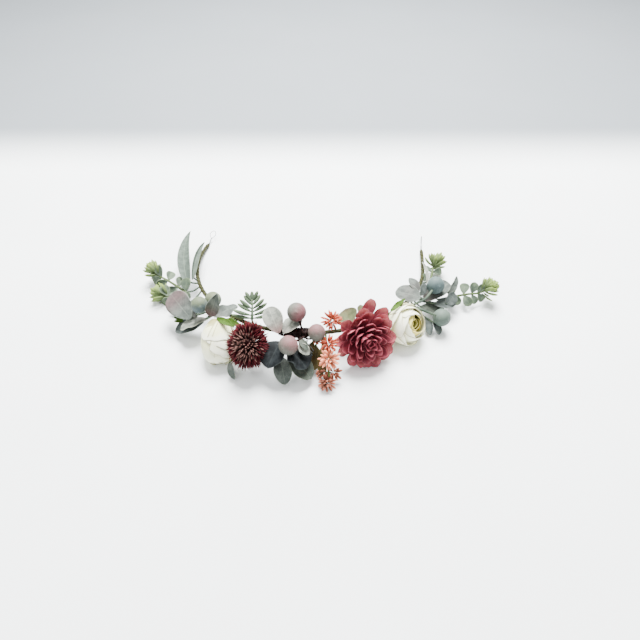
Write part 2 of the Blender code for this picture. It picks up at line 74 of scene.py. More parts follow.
# small helpers: vectors are numpy arrays, places are metres in the frame

def unit(vector):
    vector = np.asarray(vector, float)
    return vector / np.linalg.norm(vector, axis=-1, keepdims=True)


# Two directions square to an axis, the first as close as it can be to `near`.
def squareTo(axis, near):
    first = unit(np.asarray(near, float) - np.dot(near, axis) * axis)
    return first, np.cross(axis, first)


# Rises from 0 to 1 between low and high: t*t*(3 - 2t).
def smooth(value, low, high):
    t = np.clip((value - low) / (high - low), 0.0, 1.0)
    return t * t * (3.0 - 2.0 * t)


def camelName(node):
    words = node.split("_")
    return words[0] + "".join(word.capitalize() for word in words[1:])


def nodePoints(name):
    mesh = frame["nodes"][name].data
    points = np.empty(len(mesh.vertices) * 3)
    mesh.vertices.foreach_get("co", points)
    return points.reshape(-1, 3)


def boxOf(name):
    low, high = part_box(name)
    return np.array(low), np.array(high)


def middle(name):
    low, high = boxOf(name)
    return 0.5 * (low + high)


# the band's route: an arc whose two tails keep a share of its curve, and its height

bandShape = dict(radius=0.110, front=0.024, rest=0.0017, leftHinge=-0.152, rightHinge=0.157,
                 leftEnd=-0.204, rightEnd=0.194, leftCurve=1.0, rightCurve=0.15)


def arcCentre():
    turn = bandShape["leftHinge"] / bandShape["radius"]
    hinge = np.array(joints["left_tail_bend"]["pos_m"][:2])
    return hinge - bandShape["radius"] * np.array([math.sin(turn), -math.cos(turn)])


crownCentre = arcCentre()


# The band's centre line: an arc, then a tail's own arc, at a height front*cos(90 deg*s/end).
def bandPath(along):
    shape = bandShape
    along = np.atleast_1d(np.asarray(along, float))
    body = np.clip(along, shape["leftHinge"], shape["rightHinge"])
    tail = along - body
    curve = np.where(along < 0.0, shape["leftCurve"], shape["rightCurve"]) / shape["radius"]
    turn = body / shape["radius"]
    end = turn + tail * curve
    x = shape["radius"] * np.sin(turn) + (np.sin(end) - np.sin(turn)) / curve
    y = -shape["radius"] * np.cos(turn) - (np.cos(end) - np.cos(turn)) / curve
    reach = np.where(along < 0.0, shape["leftEnd"], shape["rightEnd"])
    rise = np.cos(0.5 * np.pi * np.clip(along / reach, 0.0, 1.0))
    z = shape["rest"] + (shape["front"] - shape["rest"]) * rise
    return np.stack([x + crownCentre[0], y + crownCentre[1], z], -1)


# A pick's own frame on the band: rows are its place and its out, along and up directions.
def pickAt(along):
    turn = along * mm / bandShape["radius"]
    out = [math.sin(turn), -math.cos(turn), 0.0]
    forward = [math.cos(turn), math.sin(turn), 0.0]
    return np.array([bandPath(along * mm)[0], out, forward, [0.0, 0.0, 1.0]])


# Places (out, along, up) in millimetres on a pick, as places in the frame.
def onPick(pick, places):
    return pick[0] + (np.asarray(places, float) * mm) @ pick[1:]


def leanOn(pick, direction):
    return unit(np.asarray(direction, float) @ pick[1:])


picks = {
    "center": pickAt(-15.0), "coral": pickAt(15.0), "dahlia": pickAt(46.0),
    "rightRose": pickAt(83.0), "rightLeaves": pickAt(107.5), "rightSprig": pickAt(134.0),
    "thistle": pickAt(-42.0), "leftRose": pickAt(-65.5), "leftLeaves": pickAt(-91.0),
    "leftSprig": pickAt(-125.7),
}


# mesh building: a stack of k grids (k, rows, columns, 3) becomes one mesh

def gridQuads(count, rows, columns, wrapped):
    row = np.arange(rows - 1)[:, None] * columns
    column = np.arange(columns if wrapped else columns - 1)[None, :]
    after = (column + 1) % columns
    quads = np.stack([row + column, row + after, row + after + columns, row + column + columns], -1)
    steps = (np.arange(count) * rows * columns)[:, None, None]
    return (quads.reshape(1, -1, 4) + steps).reshape(-1, 4)


def ringCaps(count, rows, columns):
    ring = np.arange(columns)
    steps = (np.arange(count) * rows * columns)[:, None]
    first = ring[::-1][None] + steps
    last = (ring + (rows - 1) * columns)[None] + steps
    return np.concatenate([first, last])


# Grids gathered for one piece, with the values each carries.
class Stack:
    def __init__(self):
        self.points, self.faces, self.uvs, self.values = [], [], [], {}
        self.size = 0

    def add(self, grid, closed=False, uv=None, **values):
        grid = np.asarray(grid, float)
        if grid.ndim == 3:
            grid = grid[None]
        count, rows, columns = grid.shape[:3]
        faces = gridQuads(count, rows, columns, closed) + self.size
        self.faces += faces.tolist()
        if closed:
            self.faces += (ringCaps(count, rows, columns) + self.size).tolist()
        if uv is None:
            across = np.linspace(0.0, 1.0, columns)
            down = np.linspace(0.0, 1.0, rows)
            uv = np.stack(np.broadcast_arrays(across[None, :], down[:, None]), -1)
        self.uvs.append(np.broadcast_to(uv, grid.shape[:3] + (2,)).reshape(-1, 2))
        for name in set(values) | set(self.values):
            value = np.asarray(values.get(name, 0.5), float)
            if value.ndim == 1:
                value = value[:, None, None]
            full = np.broadcast_to(value, grid.shape[:3]).reshape(-1)
            if name not in self.values:
                self.values[name] = [np.full(self.size, 0.5)] if self.size else []
            self.values[name].append(full)
        self.points.append(grid.reshape(-1, 3))
        self.size += count * rows * columns

    def build(self, name, body, material, slot, stands=(), wall=0.0):
        # soft pieces rest on the table: lift' = (lift + sqrt(lift^2 + rest^2)) / 2
        points = np.concatenate(self.points)
        lift = points[:, 2] - cadBox[0][2]
        points[:, 2] += 0.5 * (np.sqrt(lift ** 2 + (0.6 * mm) ** 2) - lift)
        mesh = bpy.data.meshes.new(name)
        mesh.from_pydata(points, [], self.faces)
        corners = np.empty(len(mesh.loops), int)
        mesh.loops.foreach_get("vertex_index", corners)
        layer = mesh.uv_layers.new(name="run")
        layer.uv.foreach_set("vector", np.concatenate(self.uvs)[corners].astype(np.float32).ravel())
        for key, parts in self.values.items():
            attribute = mesh.attributes.new(key, "FLOAT", "POINT")
            attribute.data.foreach_set("value", np.concatenate(parts).astype(np.float32))
        mesh.shade_smooth()
        mesh.materials.append(material)
        piece = bpy.data.objects.new(name, mesh)
        bpy.context.scene.collection.objects.link(piece)
        if wall:
            cloth = piece.modifiers.new("Cloth", "SOLIDIFY")
            cloth.thickness = wall
            cloth.offset = 0.0
        if isinstance(body, str):
            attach(piece, body)
        else:
            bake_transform(piece)
        if stands:
            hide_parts(*stands)
        return piece


# A line through a few points: Catmull-Rom pieces, sampled evenly in the parameter.
def smoothLine(points, count):
    points = np.asarray(points, float)
    if len(points) == 2:
        t = np.linspace(0.0, 1.0, count)[:, None]
        return points[0] * (1.0 - t) + points[1] * t
    padded = np.concatenate([[2.0 * points[0] - points[1]], points, [2.0 * points[-1] - points[-2]]])
    t = np.linspace(0.0, len(points) - 1.000001, count)
    first = t.astype(int)
    f = (t - first)[:, None]
    a, b, c, d = (padded[first + step] for step in range(4))
    return 0.5 * (2.0 * b + (c - a) * f + (2.0 * a - 5.0 * b + 4.0 * c - d) * f ** 2
                  + (3.0 * b - a - 3.0 * c + d) * f ** 3)


# Headings of a line and two directions square to it that turn as little as they can.
def alongLine(line, upright=False):
    heading = unit(np.gradient(line, axis=0))
    if upright:
        side = unit(np.array([0.0, 0.0, 1.0]) - heading[:, 2:3] * heading)
        return heading, side, np.cross(heading, side)
    side = np.empty_like(heading)
    near = np.array([0.13, 0.21, 0.97]) if abs(heading[0][2]) < 0.8 else np.array([1.0, 0.0, 0.1])
    side[0] = squareTo(heading[0], near)[0]
    for step in range(1, len(line)):
        side[step] = unit(side[step - 1] - np.dot(side[step - 1], heading[step]) * heading[step])
    return heading, side, np.cross(heading, side)


# A round section carried along a line: line + r*(cos a * side + flat * sin a * other).
def tubeGrid(line, radius, sides=10, flat=1.0, upright=False):
    side, other = alongLine(line, upright)[1:]
    radius = np.asarray(radius, float)
    radius = np.broadcast_to(radius[:, None] if radius.ndim == 1 else radius, (len(line), sides))
    angle = np.linspace(0.0, 2.0 * np.pi, sides, endpoint=False)
    ring = (np.cos(angle)[None, :, None] * side[:, None, :]
            + flat * np.sin(angle)[None, :, None] * other[:, None, :])
    return line[:, None, :] + radius[..., None] * ring


# materials: shared effects are node groups, the shader itself stays in each material

studioLight = 4.4       # white light that falls on the table, as the render sees it


# A colour as it should look, as the paint that looks so: 0.223*(d/(1 - d))^1.24 / light.
def tint(code):
    looks = np.array([int(code[step:step + 2], 16) / 255.0 for step in (0, 2, 4)]).clip(0.02, 0.95)
    paint = 0.223 * (looks / (1.0 - looks)) ** 1.24 / studioLight
    return paint.clip(0.0, 0.86).tolist() + [1.0]


# Adds nodes to a tree. Each call takes sockets or plain values and gives back a socket.
class Wiring:
    def __init__(self, tree):
        self.tree = tree

    def put(self, socket, value):
        if isinstance(value, bpy.types.NodeSocket):
            self.tree.links.new(value, socket)
        else:
            socket.default_value = value

    def node(self, kind, inputs=(), **settings):
        made = self.tree.nodes.new(kind)
        for key, value in settings.items():
            setattr(made, key, value)
        for key, value in dict(inputs).items():
            self.put(made.inputs[key], value)
        return made

    def sum(self, operation, first, second=0.0, third=0.0):
        made = self.node("ShaderNodeMath", {0: first, 1: second, 2: third}, operation=operation)
        return made.outputs[0]

    def ramp(self, value, low, high, start=0.0, stop=1.0):
        made = self.node("ShaderNodeMapRange", {"Value": value, "From Min": low, "From Max": high,
                                                "To Min": start, "To Max": stop},
                         interpolation_type="SMOOTHSTEP")
        return made.outputs["Result"]

    def mix(self, factor, first, second):
        made = self.node("ShaderNodeMix", data_type="RGBA")
        for socket, value in ((made.inputs["Factor"], factor), (made.inputs[6], first),
                              (made.inputs[7], second)):
            self.put(socket, value)
        return made.outputs[2]

    def shade(self, colour, value, saturation=1.0):
        made = self.node("ShaderNodeHueSaturation",
                         {"Color": colour, "Value": value, "Saturation": saturation})
        return made.outputs["Color"]

    def noise(self, vector, scale, detail=2.0, roughness=0.5):
        made = self.node("ShaderNodeTexNoise", {"Vector": vector, "Scale": scale, "Detail": detail,
                                                "Roughness": roughness})
        return made.outputs["Fac"]

    # 1 + amount*(2*value - 1): a brightness that swings about 1.
    def swing(self, value, amount):
        doubled = self.sum("MULTIPLY_ADD", value, 2.0, -1.0)
        return self.sum("MULTIPLY_ADD", doubled, amount, 1.0)


def makeGroup(name, inputs, outputs):
    group = bpy.data.node_groups.new(name, "ShaderNodeTree")
    kinds = {"c": "NodeSocketColor", "f": "NodeSocketFloat", "v": "NodeSocketVector"}
    for kind, label in inputs:
        group.interface.new_socket(label, in_out="INPUT", socket_type=kinds[kind])
    for kind, label in outputs:
        group.interface.new_socket(label, in_out="OUTPUT", socket_type=kinds[kind])
    wiring = Wiring(group)
    entry = group.nodes.new("NodeGroupInput").outputs
    leave = group.nodes.new("NodeGroupOutput").inputs
    return group, wiring, entry, leave


# Fine cloth grain: two noises in object space, one of them three times finer.
def makeGrain():
    group, w, entry, leave = makeGroup("clothGrain", [("v", "Place"), ("f", "Scale")],
                                       [("f", "Grain"), ("f", "Cloud")])
    fine = w.noise(entry["Place"], entry["Scale"], 3.0, 0.6)
    finer = w.noise(entry["Place"], w.sum("MULTIPLY", entry["Scale"], 3.1), 1.0)
    w.put(leave["Grain"], w.sum("MULTIPLY_ADD", finer, 0.4, w.sum("MULTIPLY", fine, 0.6)))
    w.put(leave["Cloud"], w.noise(entry["Place"], w.sum("MULTIPLY", entry["Scale"], 0.16), 3.0, 0.6))
    return group


grainGroup = makeGrain()


def grainOf(w, place, scale):
    made = w.node("ShaderNodeGroup", node_tree=grainGroup)
    w.put(made.inputs["Place"], place)
    w.put(made.inputs["Scale"], scale)
    return made.outputs["Grain"], made.outputs["Cloud"]


# Petal colour: throat to body to tip along v, a rim at the edge, fine veins along v, and a
# brightness of its own for each petal.
def makePetalShade():
    group, w, entry, leave = makeGroup(
        "petalShade",
        [("v", "Run"), ("v", "Place"), ("f", "Tone"), ("c", "Throat"), ("c", "Body"), ("c", "Tip"),
         ("c", "Rim"), ("f", "Rim Width"), ("f", "Rim Amount"), ("f", "Vein"), ("f", "Cloud"),
         ("f", "Spread")],
        [("c", "Color"), ("f", "Height")])
    part = w.node("ShaderNodeSeparateXYZ", {"Vector": entry["Run"]}).outputs
    grain, cloud = grainOf(w, entry["Place"], 900.0)
    wobble = w.sum("MULTIPLY_ADD", cloud, 0.16, -0.08)
    along = w.sum("ADD", part["Y"], wobble)
    colour = w.mix(w.ramp(along, 0.05, 0.6), entry["Throat"], entry["Body"])
    colour = w.mix(w.ramp(along, 0.6, 1.0), colour, entry["Tip"])
    side = w.sum("MINIMUM", part["X"], w.sum("SUBTRACT", 1.0, part["X"]))
    edge = w.sum("MINIMUM", side, w.sum("SUBTRACT", 1.0, part["Y"]))
    edge = w.sum("MULTIPLY_ADD", cloud, 0.04, w.sum("SUBTRACT", edge, 0.02))
    rim = w.sum("SUBTRACT", 1.0, w.ramp(edge, 0.0, entry["Rim Width"]))
    colour = w.mix(w.sum("MULTIPLY", rim, entry["Rim Amount"]), colour, entry["Rim"])
    stretched = w.node("ShaderNodeCombineXYZ", {
        "X": w.sum("MULTIPLY", part["X"], 26.0), "Y": w.sum("MULTIPLY", part["Y"], 2.2),
        "Z": w.sum("MULTIPLY", entry["Tone"], 31.0)}).outputs[0]
    vein = w.noise(stretched, 1.0, 2.0, 0.6)
    light = w.swing(vein, entry["Vein"])
    light = w.sum("MULTIPLY", light, w.swing(cloud, entry["Cloud"]))
    light = w.sum("MULTIPLY", light, w.swing(entry["Tone"], entry["Spread"]))
    w.put(leave["Color"], w.shade(colour, light))
    w.put(leave["Height"], w.sum("MULTIPLY_ADD", vein, 0.6, w.sum("MULTIPLY", grain, 0.4)))
    return group


# Leaf colour: a frosted face with a pale rim and rib, side veins as slanted saw teeth, a blush
# where the piece's own value says, and cloudy wear.
def makeLeafShade():
    group, w, entry, leave = makeGroup(
        "leafShade",
        [("v", "Run"), ("v", "Place"), ("f", "Tone"), ("f", "Blush"), ("c", "Face"), ("c", "Frost"),
         ("c", "Rim"), ("c", "Blush Color"), ("f", "Rim Width"), ("f", "Rim Amount"), ("f", "Veins"),
         ("f", "Cloud"), ("f", "Spread")],
        [("c", "Color"), ("f", "Height"), ("f", "Roughness")])
    part = w.node("ShaderNodeSeparateXYZ", {"Vector": entry["Run"]}).outputs
    grain, cloud = grainOf(w, entry["Place"], 1100.0)
    patchy = w.ramp(w.sum("ADD", cloud, w.sum("MULTIPLY_ADD", grain, 0.3, -0.15)), 0.35, 0.65)
    colour = w.mix(patchy, entry["Face"], entry["Frost"])
    fromRib = w.sum("ABSOLUTE", w.sum("SUBTRACT", part["X"], 0.5))
    rib = w.sum("SUBTRACT", 1.0, w.ramp(fromRib, 0.005, 0.04))
    slant = w.sum("MULTIPLY_ADD", part["Y"], 9.0, w.sum("MULTIPLY", fromRib, -7.0))
    tooth = w.sum("ABSOLUTE", w.sum("MULTIPLY_ADD", w.sum("FRACT", slant), 2.0, -1.0))
    line = w.sum("MULTIPLY", w.ramp(tooth, 0.82, 1.0), 0.5)
    veins = w.sum("MULTIPLY", w.sum("MAXIMUM", rib, line), entry["Veins"])
    colour = w.mix(veins, colour, entry["Rim"])
    side = w.sum("SUBTRACT", 0.5, fromRib)
    edge = w.sum("MINIMUM", side, w.sum("SUBTRACT", 1.0, part["Y"]))
    rim = w.sum("SUBTRACT", 1.0, w.ramp(edge, 0.0, entry["Rim Width"]))
    colour = w.mix(w.sum("MULTIPLY", rim, entry["Rim Amount"]), colour, entry["Rim"])
    flush = w.sum("MULTIPLY", entry["Blush"], w.ramp(cloud, 0.2, 0.6, 0.55, 1.0))
    colour = w.mix(flush, colour, entry["Blush Color"])
    light = w.sum("MULTIPLY", w.swing(cloud, entry["Cloud"]), w.swing(entry["Tone"], entry["Spread"]))
    w.put(leave["Color"], w.shade(colour, light))
    w.put(leave["Height"], w.sum("MULTIPLY_ADD", veins, -0.7, w.sum("MULTIPLY", grain, 0.35)))
    w.put(leave["Roughness"], w.ramp(grain, 0.3, 0.7, 0.5, 0.72))
    return group


# Berry colour: a shaded colour to a lighter lit colour by the piece's own lit-side value (painted light and
# painted shade, with a change of hue that is the berry's own), a blush, and powdery bloom.
def makeBerrySkin():
    group, w, entry, leave = makeGroup(
        "berrySkin",
        [("v", "Place"), ("f", "Lift"), ("f", "Blush"), ("c", "Under"), ("c", "Over"),
         ("c", "Blush Color"), ("c", "Bloom"), ("f", "Bloom Amount")],
        [("c", "Color"), ("f", "Height"), ("f", "Roughness")])
    grain, cloud = grainOf(w, entry["Place"], 1500.0)
    # painted light: the lit-side value, roughened by a cloud, moves from the shaded colour to the lighter lit
    # colour
    lift = w.sum("ADD", entry["Lift"], w.sum("MULTIPLY_ADD", cloud, 0.5, -0.25))
    colour = w.mix(w.ramp(lift, 0.2, 0.8), entry["Under"], entry["Over"])
    flush = w.sum("ADD", entry["Blush"], w.sum("MULTIPLY_ADD", cloud, 0.5, -0.25))
    colour = w.mix(w.ramp(flush, 0.15, 0.85), colour, entry["Blush Color"])
    dust = w.sum("MULTIPLY", w.ramp(grain, 0.42, 0.66), entry["Bloom Amount"])
    colour = w.mix(dust, colour, entry["Bloom"])
    w.put(leave["Color"], w.shade(colour, w.swing(cloud, 0.08)))
    w.put(leave["Height"], grain)
    w.put(leave["Roughness"], w.ramp(grain, 0.3, 0.7, 0.42, 0.62))
    return group


# Stem and wire colour: two colours by a noise and by the piece's own ridge value. On the tape and the wrap the
# ridge value is painted shade at the foot of each winding's edge and a painted highlight on its raised lip; on
# stems it is a slow change of tone.
def makeStemShade():
    group, w, entry, leave = makeGroup(
        "stemShade",
        [("v", "Place"), ("f", "Ridge"), ("c", "Low"), ("c", "High"), ("f", "Scale")],
        [("c", "Color"), ("f", "Height"), ("f", "Roughness")])
    grain, cloud = grainOf(w, entry["Place"], entry["Scale"])
    # painted shade and highlight from the ridge value, mixed with the real grain
    stepShadeAndGrain = w.sum("MULTIPLY_ADD", entry["Ridge"], 0.55, w.sum("MULTIPLY", grain, 0.55))
    colour = w.mix(w.ramp(stepShadeAndGrain, 0.25, 0.8), entry["Low"], entry["High"])
    w.put(leave["Color"], w.shade(colour, w.swing(cloud, 0.16)))
    w.put(leave["Height"], grain)
    w.put(leave["Roughness"], w.ramp(cloud, 0.3, 0.7, 0.5, 0.8))
    return group


petalGroup, leafGroup = makePetalShade(), makeLeafShade()
berryGroup, stemGroup = makeBerrySkin(), makeStemShade()


# A material: the group's colour, height and roughness on a Principled shader.
def finish(name, group, values, bump=0.0002, reads=(), shader=()):
    material = bpy.data.materials.new(name)
    material.use_nodes = True
    w = Wiring(material.node_tree)
    principled = material.node_tree.nodes["Principled BSDF"]
    effect = w.node("ShaderNodeGroup", node_tree=group)
    w.put(effect.inputs["Place"], w.node("ShaderNodeTexCoord").outputs["Object"])
    if "Run" in effect.inputs:
        w.put(effect.inputs["Run"], w.node("ShaderNodeUVMap", uv_map="run").outputs["UV"])
    for label, attribute in reads:
        w.put(effect.inputs[label],
              w.node("ShaderNodeAttribute", attribute_name=attribute).outputs["Fac"])
    for label, value in values.items():
        effect.inputs[label].default_value = tint(value) if isinstance(value, str) else value
    w.put(principled.inputs["Base Color"], effect.outputs["Color"])
    if "Roughness" in effect.outputs:
        w.put(principled.inputs["Roughness"], effect.outputs["Roughness"])
    relief = w.node("ShaderNodeBump", {"Height": effect.outputs["Height"], "Distance": bump,
                                       "Strength": 1.0})
    w.put(principled.inputs["Normal"], relief.outputs["Normal"])
    for label, value in dict(shader).items():
        principled.inputs[label].default_value = value
    return material


soft = {"Roughness": 0.7, "Specular IOR Level": 0.07}
thin = dict(soft, **{"Subsurface Weight": 0.15, "Subsurface Scale": 0.003,
                     "Subsurface Radius": (1.0, 0.8, 0.7)})
toned = (("Tone", "tone"),)
blushed = (("Tone", "tone"), ("Blush", "blush"))
petalInputs = ("Throat", "Body", "Tip", "Rim", "Rim Width", "Rim Amount", "Vein", "Cloud", "Spread")
leafInputs = ("Face", "Frost", "Rim", "Blush Color", "Rim Width", "Rim Amount", "Veins", "Cloud",
              "Spread")


# Four colours and five numbers in the order of petalInputs, then bump height and shader values.
def petalLook(name, colours, numbers, bump, shader):
    return finish(name, petalGroup, dict(zip(petalInputs, colours + numbers)), bump, toned, shader)


# The same for a leaf, in the order of leafInputs.
def leafLook(name, colours, numbers, bump, shader):
    return finish(name, leafGroup, dict(zip(leafInputs, colours + numbers)), bump, blushed, shader)


crimsonPetal = petalLook("crimsonPetal", ("943450", "BA566A", "D698A4", "80304A"),
    (0.05, 0.75, 0.22, 0.15, 0.2), 0.0003, thin)
# the inner petals' pale pink rim colour is a painted highlight where their edges catch the light
crimsonHeartLitRims = petalLook("crimsonHeartLitRims", ("7A2038", "AE4A60", "C4768A", "D695A2"),
    (0.05, 0.7, 0.2, 0.12, 0.15), 0.0003, thin)
creamPetal = petalLook("creamPetal", ("CFCCA6", "E6E6DB", "E8E8E3", "C9C49C"),
    (0.03, 0.75, 0.06, 0.08, 0.1), 0.00012, thin)
heartPetal = petalLook("heartPetal", ("A5A83C", "C9C878", "E2DFB4", "E6E3C6"),
    (0.05, 0.8, 0.08, 0.08, 0.06), 0.00012, thin)
coralPetal = petalLook("coralPetal", ("A85236", "CC7E5E", "DDA286", "E2B094"),
    (0.12, 0.4, 0.1, 0.25, 0.3), 0.00015, thin)
coralPale = petalLook("coralPale", ("B88060", "D8AE92", "E8CCB8", "ECD6C6"),
    (0.12, 0.4, 0.1, 0.25, 0.25), 0.00015, thin)
coralDusty = petalLook("coralDusty", ("8A5442", "BC8A72", "D8B09C", "DEBCAA"),
    (0.12, 0.4, 0.1, 0.3, 0.35), 0.00015, thin)
# the nearly black throat colour at the foot of each bristle is painted shade in the gaps of the thistle ball; the
# red and dusty tips are the bristles' own colour
bristle = petalLook("bristle", ("14060A", "4A121A", "923640", "A65A62"),
    (0.01, 0.1, 0.15, 0.3, 0.5), 0.0001, dict(soft, Roughness=0.5))
bristleDusty = petalLook("bristleDusty", ("14060A", "66403E", "B89A92", "B08080"),
    (0.01, 0.1, 0.15, 0.3, 0.5), 0.0001, dict(soft, Roughness=0.5))

sageLeaf = leafLook("sageLeaf", ("848D87", "A0A7A1", "C4C9C2", "A0797F"),
    (0.035, 0.75, 0.25, 0.14, 0.12), 0.0002, soft)
duskLeaf = leafLook("duskLeaf", ("747E7B", "929B97", "B6BCB5", "70505A"),
    (0.035, 0.7, 0.25, 0.16, 0.12), 0.0002, soft)
slateLeaf = leafLook("slateLeaf", ("1B2023", "3A4144", "747D7B", "14181A"),
    (0.03, 0.7, 0.2, 0.2, 0.1), 0.0002, soft)
mossLeaf = leafLook("mossLeaf", ("6C766C", "8C9489", "B0B6A8", "7E5C50"),
    (0.03, 0.65, 0.25, 0.18, 0.12), 0.0002, soft)
paleLeaf = leafLook("paleLeaf", ("A4A8A1", "C2C4BE", "D8D9D3", "B8908F"),
    (0.04, 0.7, 0.3, 0.12, 0.08), 0.0002, soft)
willowLeaf = leafLook("willowLeaf", ("86948A", "9CA89E", "BAC3B6", "7E8E80"),
    (0.05, 0.6, 0.5, 0.12, 0.15), 0.0002, soft)
sprigLeaf = petalLook("sprigLeaf", ("86966F", "A6B588", "BCC884", "C8D2A4"),
    (0.03, 0.35, 0.1, 0.2, 0.3), 0.00015, soft)
sprigRound = leafLook("sprigRound", ("7F8F80", "9DAA98", "BEC7B2", "9AAC7C"),
    (0.06, 0.6, 0.2, 0.2, 0.2), 0.00015, soft)
sedumLeaf = petalLook("sedumLeaf", ("687C64", "889A80", "A2B094", "B4C0A6"),
    (0.03, 0.4, 0.1, 0.2, 0.25), 0.00015, soft)
greenLeaf = leafLook("greenLeaf", ("5F8528", "7C9E40", "A0B86A", "3E5A20"),
    (0.05, 0.4, 0.3, 0.25, 0.15), 0.0002, soft)
fernLeaf = leafLook("fernLeaf", ("878E68", "9EA27E", "84604C", "80503E"),
    (0.05, 0.7, 0.15, 0.2, 0.15), 0.0002, soft)
oliveLeaf = leafLook("oliveLeaf", ("75693A", "908450", "AAA070", "6E4634"),
    (0.04, 0.4, 0.3, 0.3, 0.2), 0.0002, soft)

# the berries read two values: the lit side, which is painted light and shade, and their own blush
lifted = (("Lift", "lift"), ("Blush", "blush"))
berryInputs = ("Under", "Over", "Blush Color", "Bloom", "Bloom Amount")


# Four colours and the strength of the bloom, in the order of berryInputs.
def berryLook(name, colours, bloom):
    return finish(name, berryGroup, dict(zip(berryInputs, colours + (bloom,))), 0.00008, lifted,
                  {"Specular IOR Level": 0.12})


rosyBerry = berryLook("rosyBerry", ("868D84", "9EA298", "B48489", "BFB4B0"), 0.45)
blueBerry = berryLook("blueBerry", ("7F929A", "A0A98E", "8E9EA4", "A8B3B0"), 0.4)
sageBerry = berryLook("sageBerry", ("84968E", "98A69C", "A6AC8E", "ACB6AE"), 0.4)
duckBerry = berryLook("duckBerry", ("7E9294", "93A4A2", "8A9A96", "A8B4B0"), 0.4)

ridged = (("Ridge", "ridge"),)
tapeWrap = finish("tapeWrap", stemGroup, {"Low": "33361A", "High": "75774C", "Scale": 700.0},
                  0.0002, ridged, soft)
brownStem = finish("brownStem", stemGroup, {"Low": "1E0E0E", "High": "523330", "Scale": 900.0},
                   0.0001, ridged, soft)
greenStem = finish("greenStem", stemGroup, {"Low": "4A5E2C", "High": "859656", "Scale": 900.0},
                   0.0001, ridged, soft)
sageStem = finish("sageStem", stemGroup, {"Low": "6C7E70", "High": "98A694", "Scale": 900.0},
                  0.0001, ridged, soft)
steelWire = finish("steelWire", stemGroup, {"Low": "7C7E80", "High": "ACAEB0", "Scale": 1500.0},
                   0.00003, ridged, {"Metallic": 0.35})
steelWire.node_tree.nodes["Principled BSDF"].inputs["Roughness"].default_value = 0.3
print("materials are ready")


# shapes

# A leaf: half width w*sin(pi*v^b)^p, its edges lifted by cup*|u|^2, its middle by arch*4v(1-v),
# its tip curled by v^3, waves along its edges, and a crease down its rib.
def leafGrid(base, tip, face, width, widest=0.5, full=0.7, cup=0.15, arch=0.08, curl=0.0,
             wave=0.0, waves=2.0, crease=0.0, sweep=0.0, rows=21, columns=13, phase=0.0):
    base, tip = np.asarray(base, float), np.asarray(tip, float)
    length = np.linalg.norm(tip - base)
    forward = (tip - base) / length
    normal, side = squareTo(forward, face)
    v = np.linspace(0.0, 1.0, rows)[:, None]
    u = np.linspace(-1.0, 1.0, columns)[None, :]
    outline = np.maximum(np.sin(np.pi * v ** (math.log(0.5) / math.log(widest))), 0.0) ** full
    half = 0.5 * width * outline
    half = np.maximum(half, 0.03 * width * (1.0 - 0.6 * v))
    bow = 4.0 * v * (1.0 - v)
    run = length * v
    across = half * u + sweep * bow
    lift = arch * length * bow + half * (cup * u ** 2 + crease * np.abs(u))
    lift = lift + curl * length * v ** 3
    lift = lift + wave * half * np.sin(2.0 * np.pi * waves * v + phase + 1.3 * np.sign(u)) * u ** 2
    return (base + run[..., None] * forward + across[..., None] * side + lift[..., None] * normal)


# A CAD leaf's own place: its base, tip, face direction and width, from the spread of its points.
def leafPlace(node, hub, up=(0.0, -0.4, 1.0)):
    points = nodePoints(node)
    centre = points.mean(0)
    axes = np.linalg.eigh(np.cov((points - centre).T))[1]
    long, wide, flat = axes[:, 2], axes[:, 1], axes[:, 0]
    run = (points - centre) @ long
    width = np.ptp((points - centre) @ wide)
    ends = [points[run <= run.min() + 0.08 * np.ptp(run)].mean(0),
            points[run >= run.max() - 0.08 * np.ptp(run)].mean(0)]
    ends.sort(key=lambda end: np.linalg.norm(end - hub))
    if np.dot(flat, up) < 0.0:
        flat = -flat
    return ends[0], ends[1], flat, width


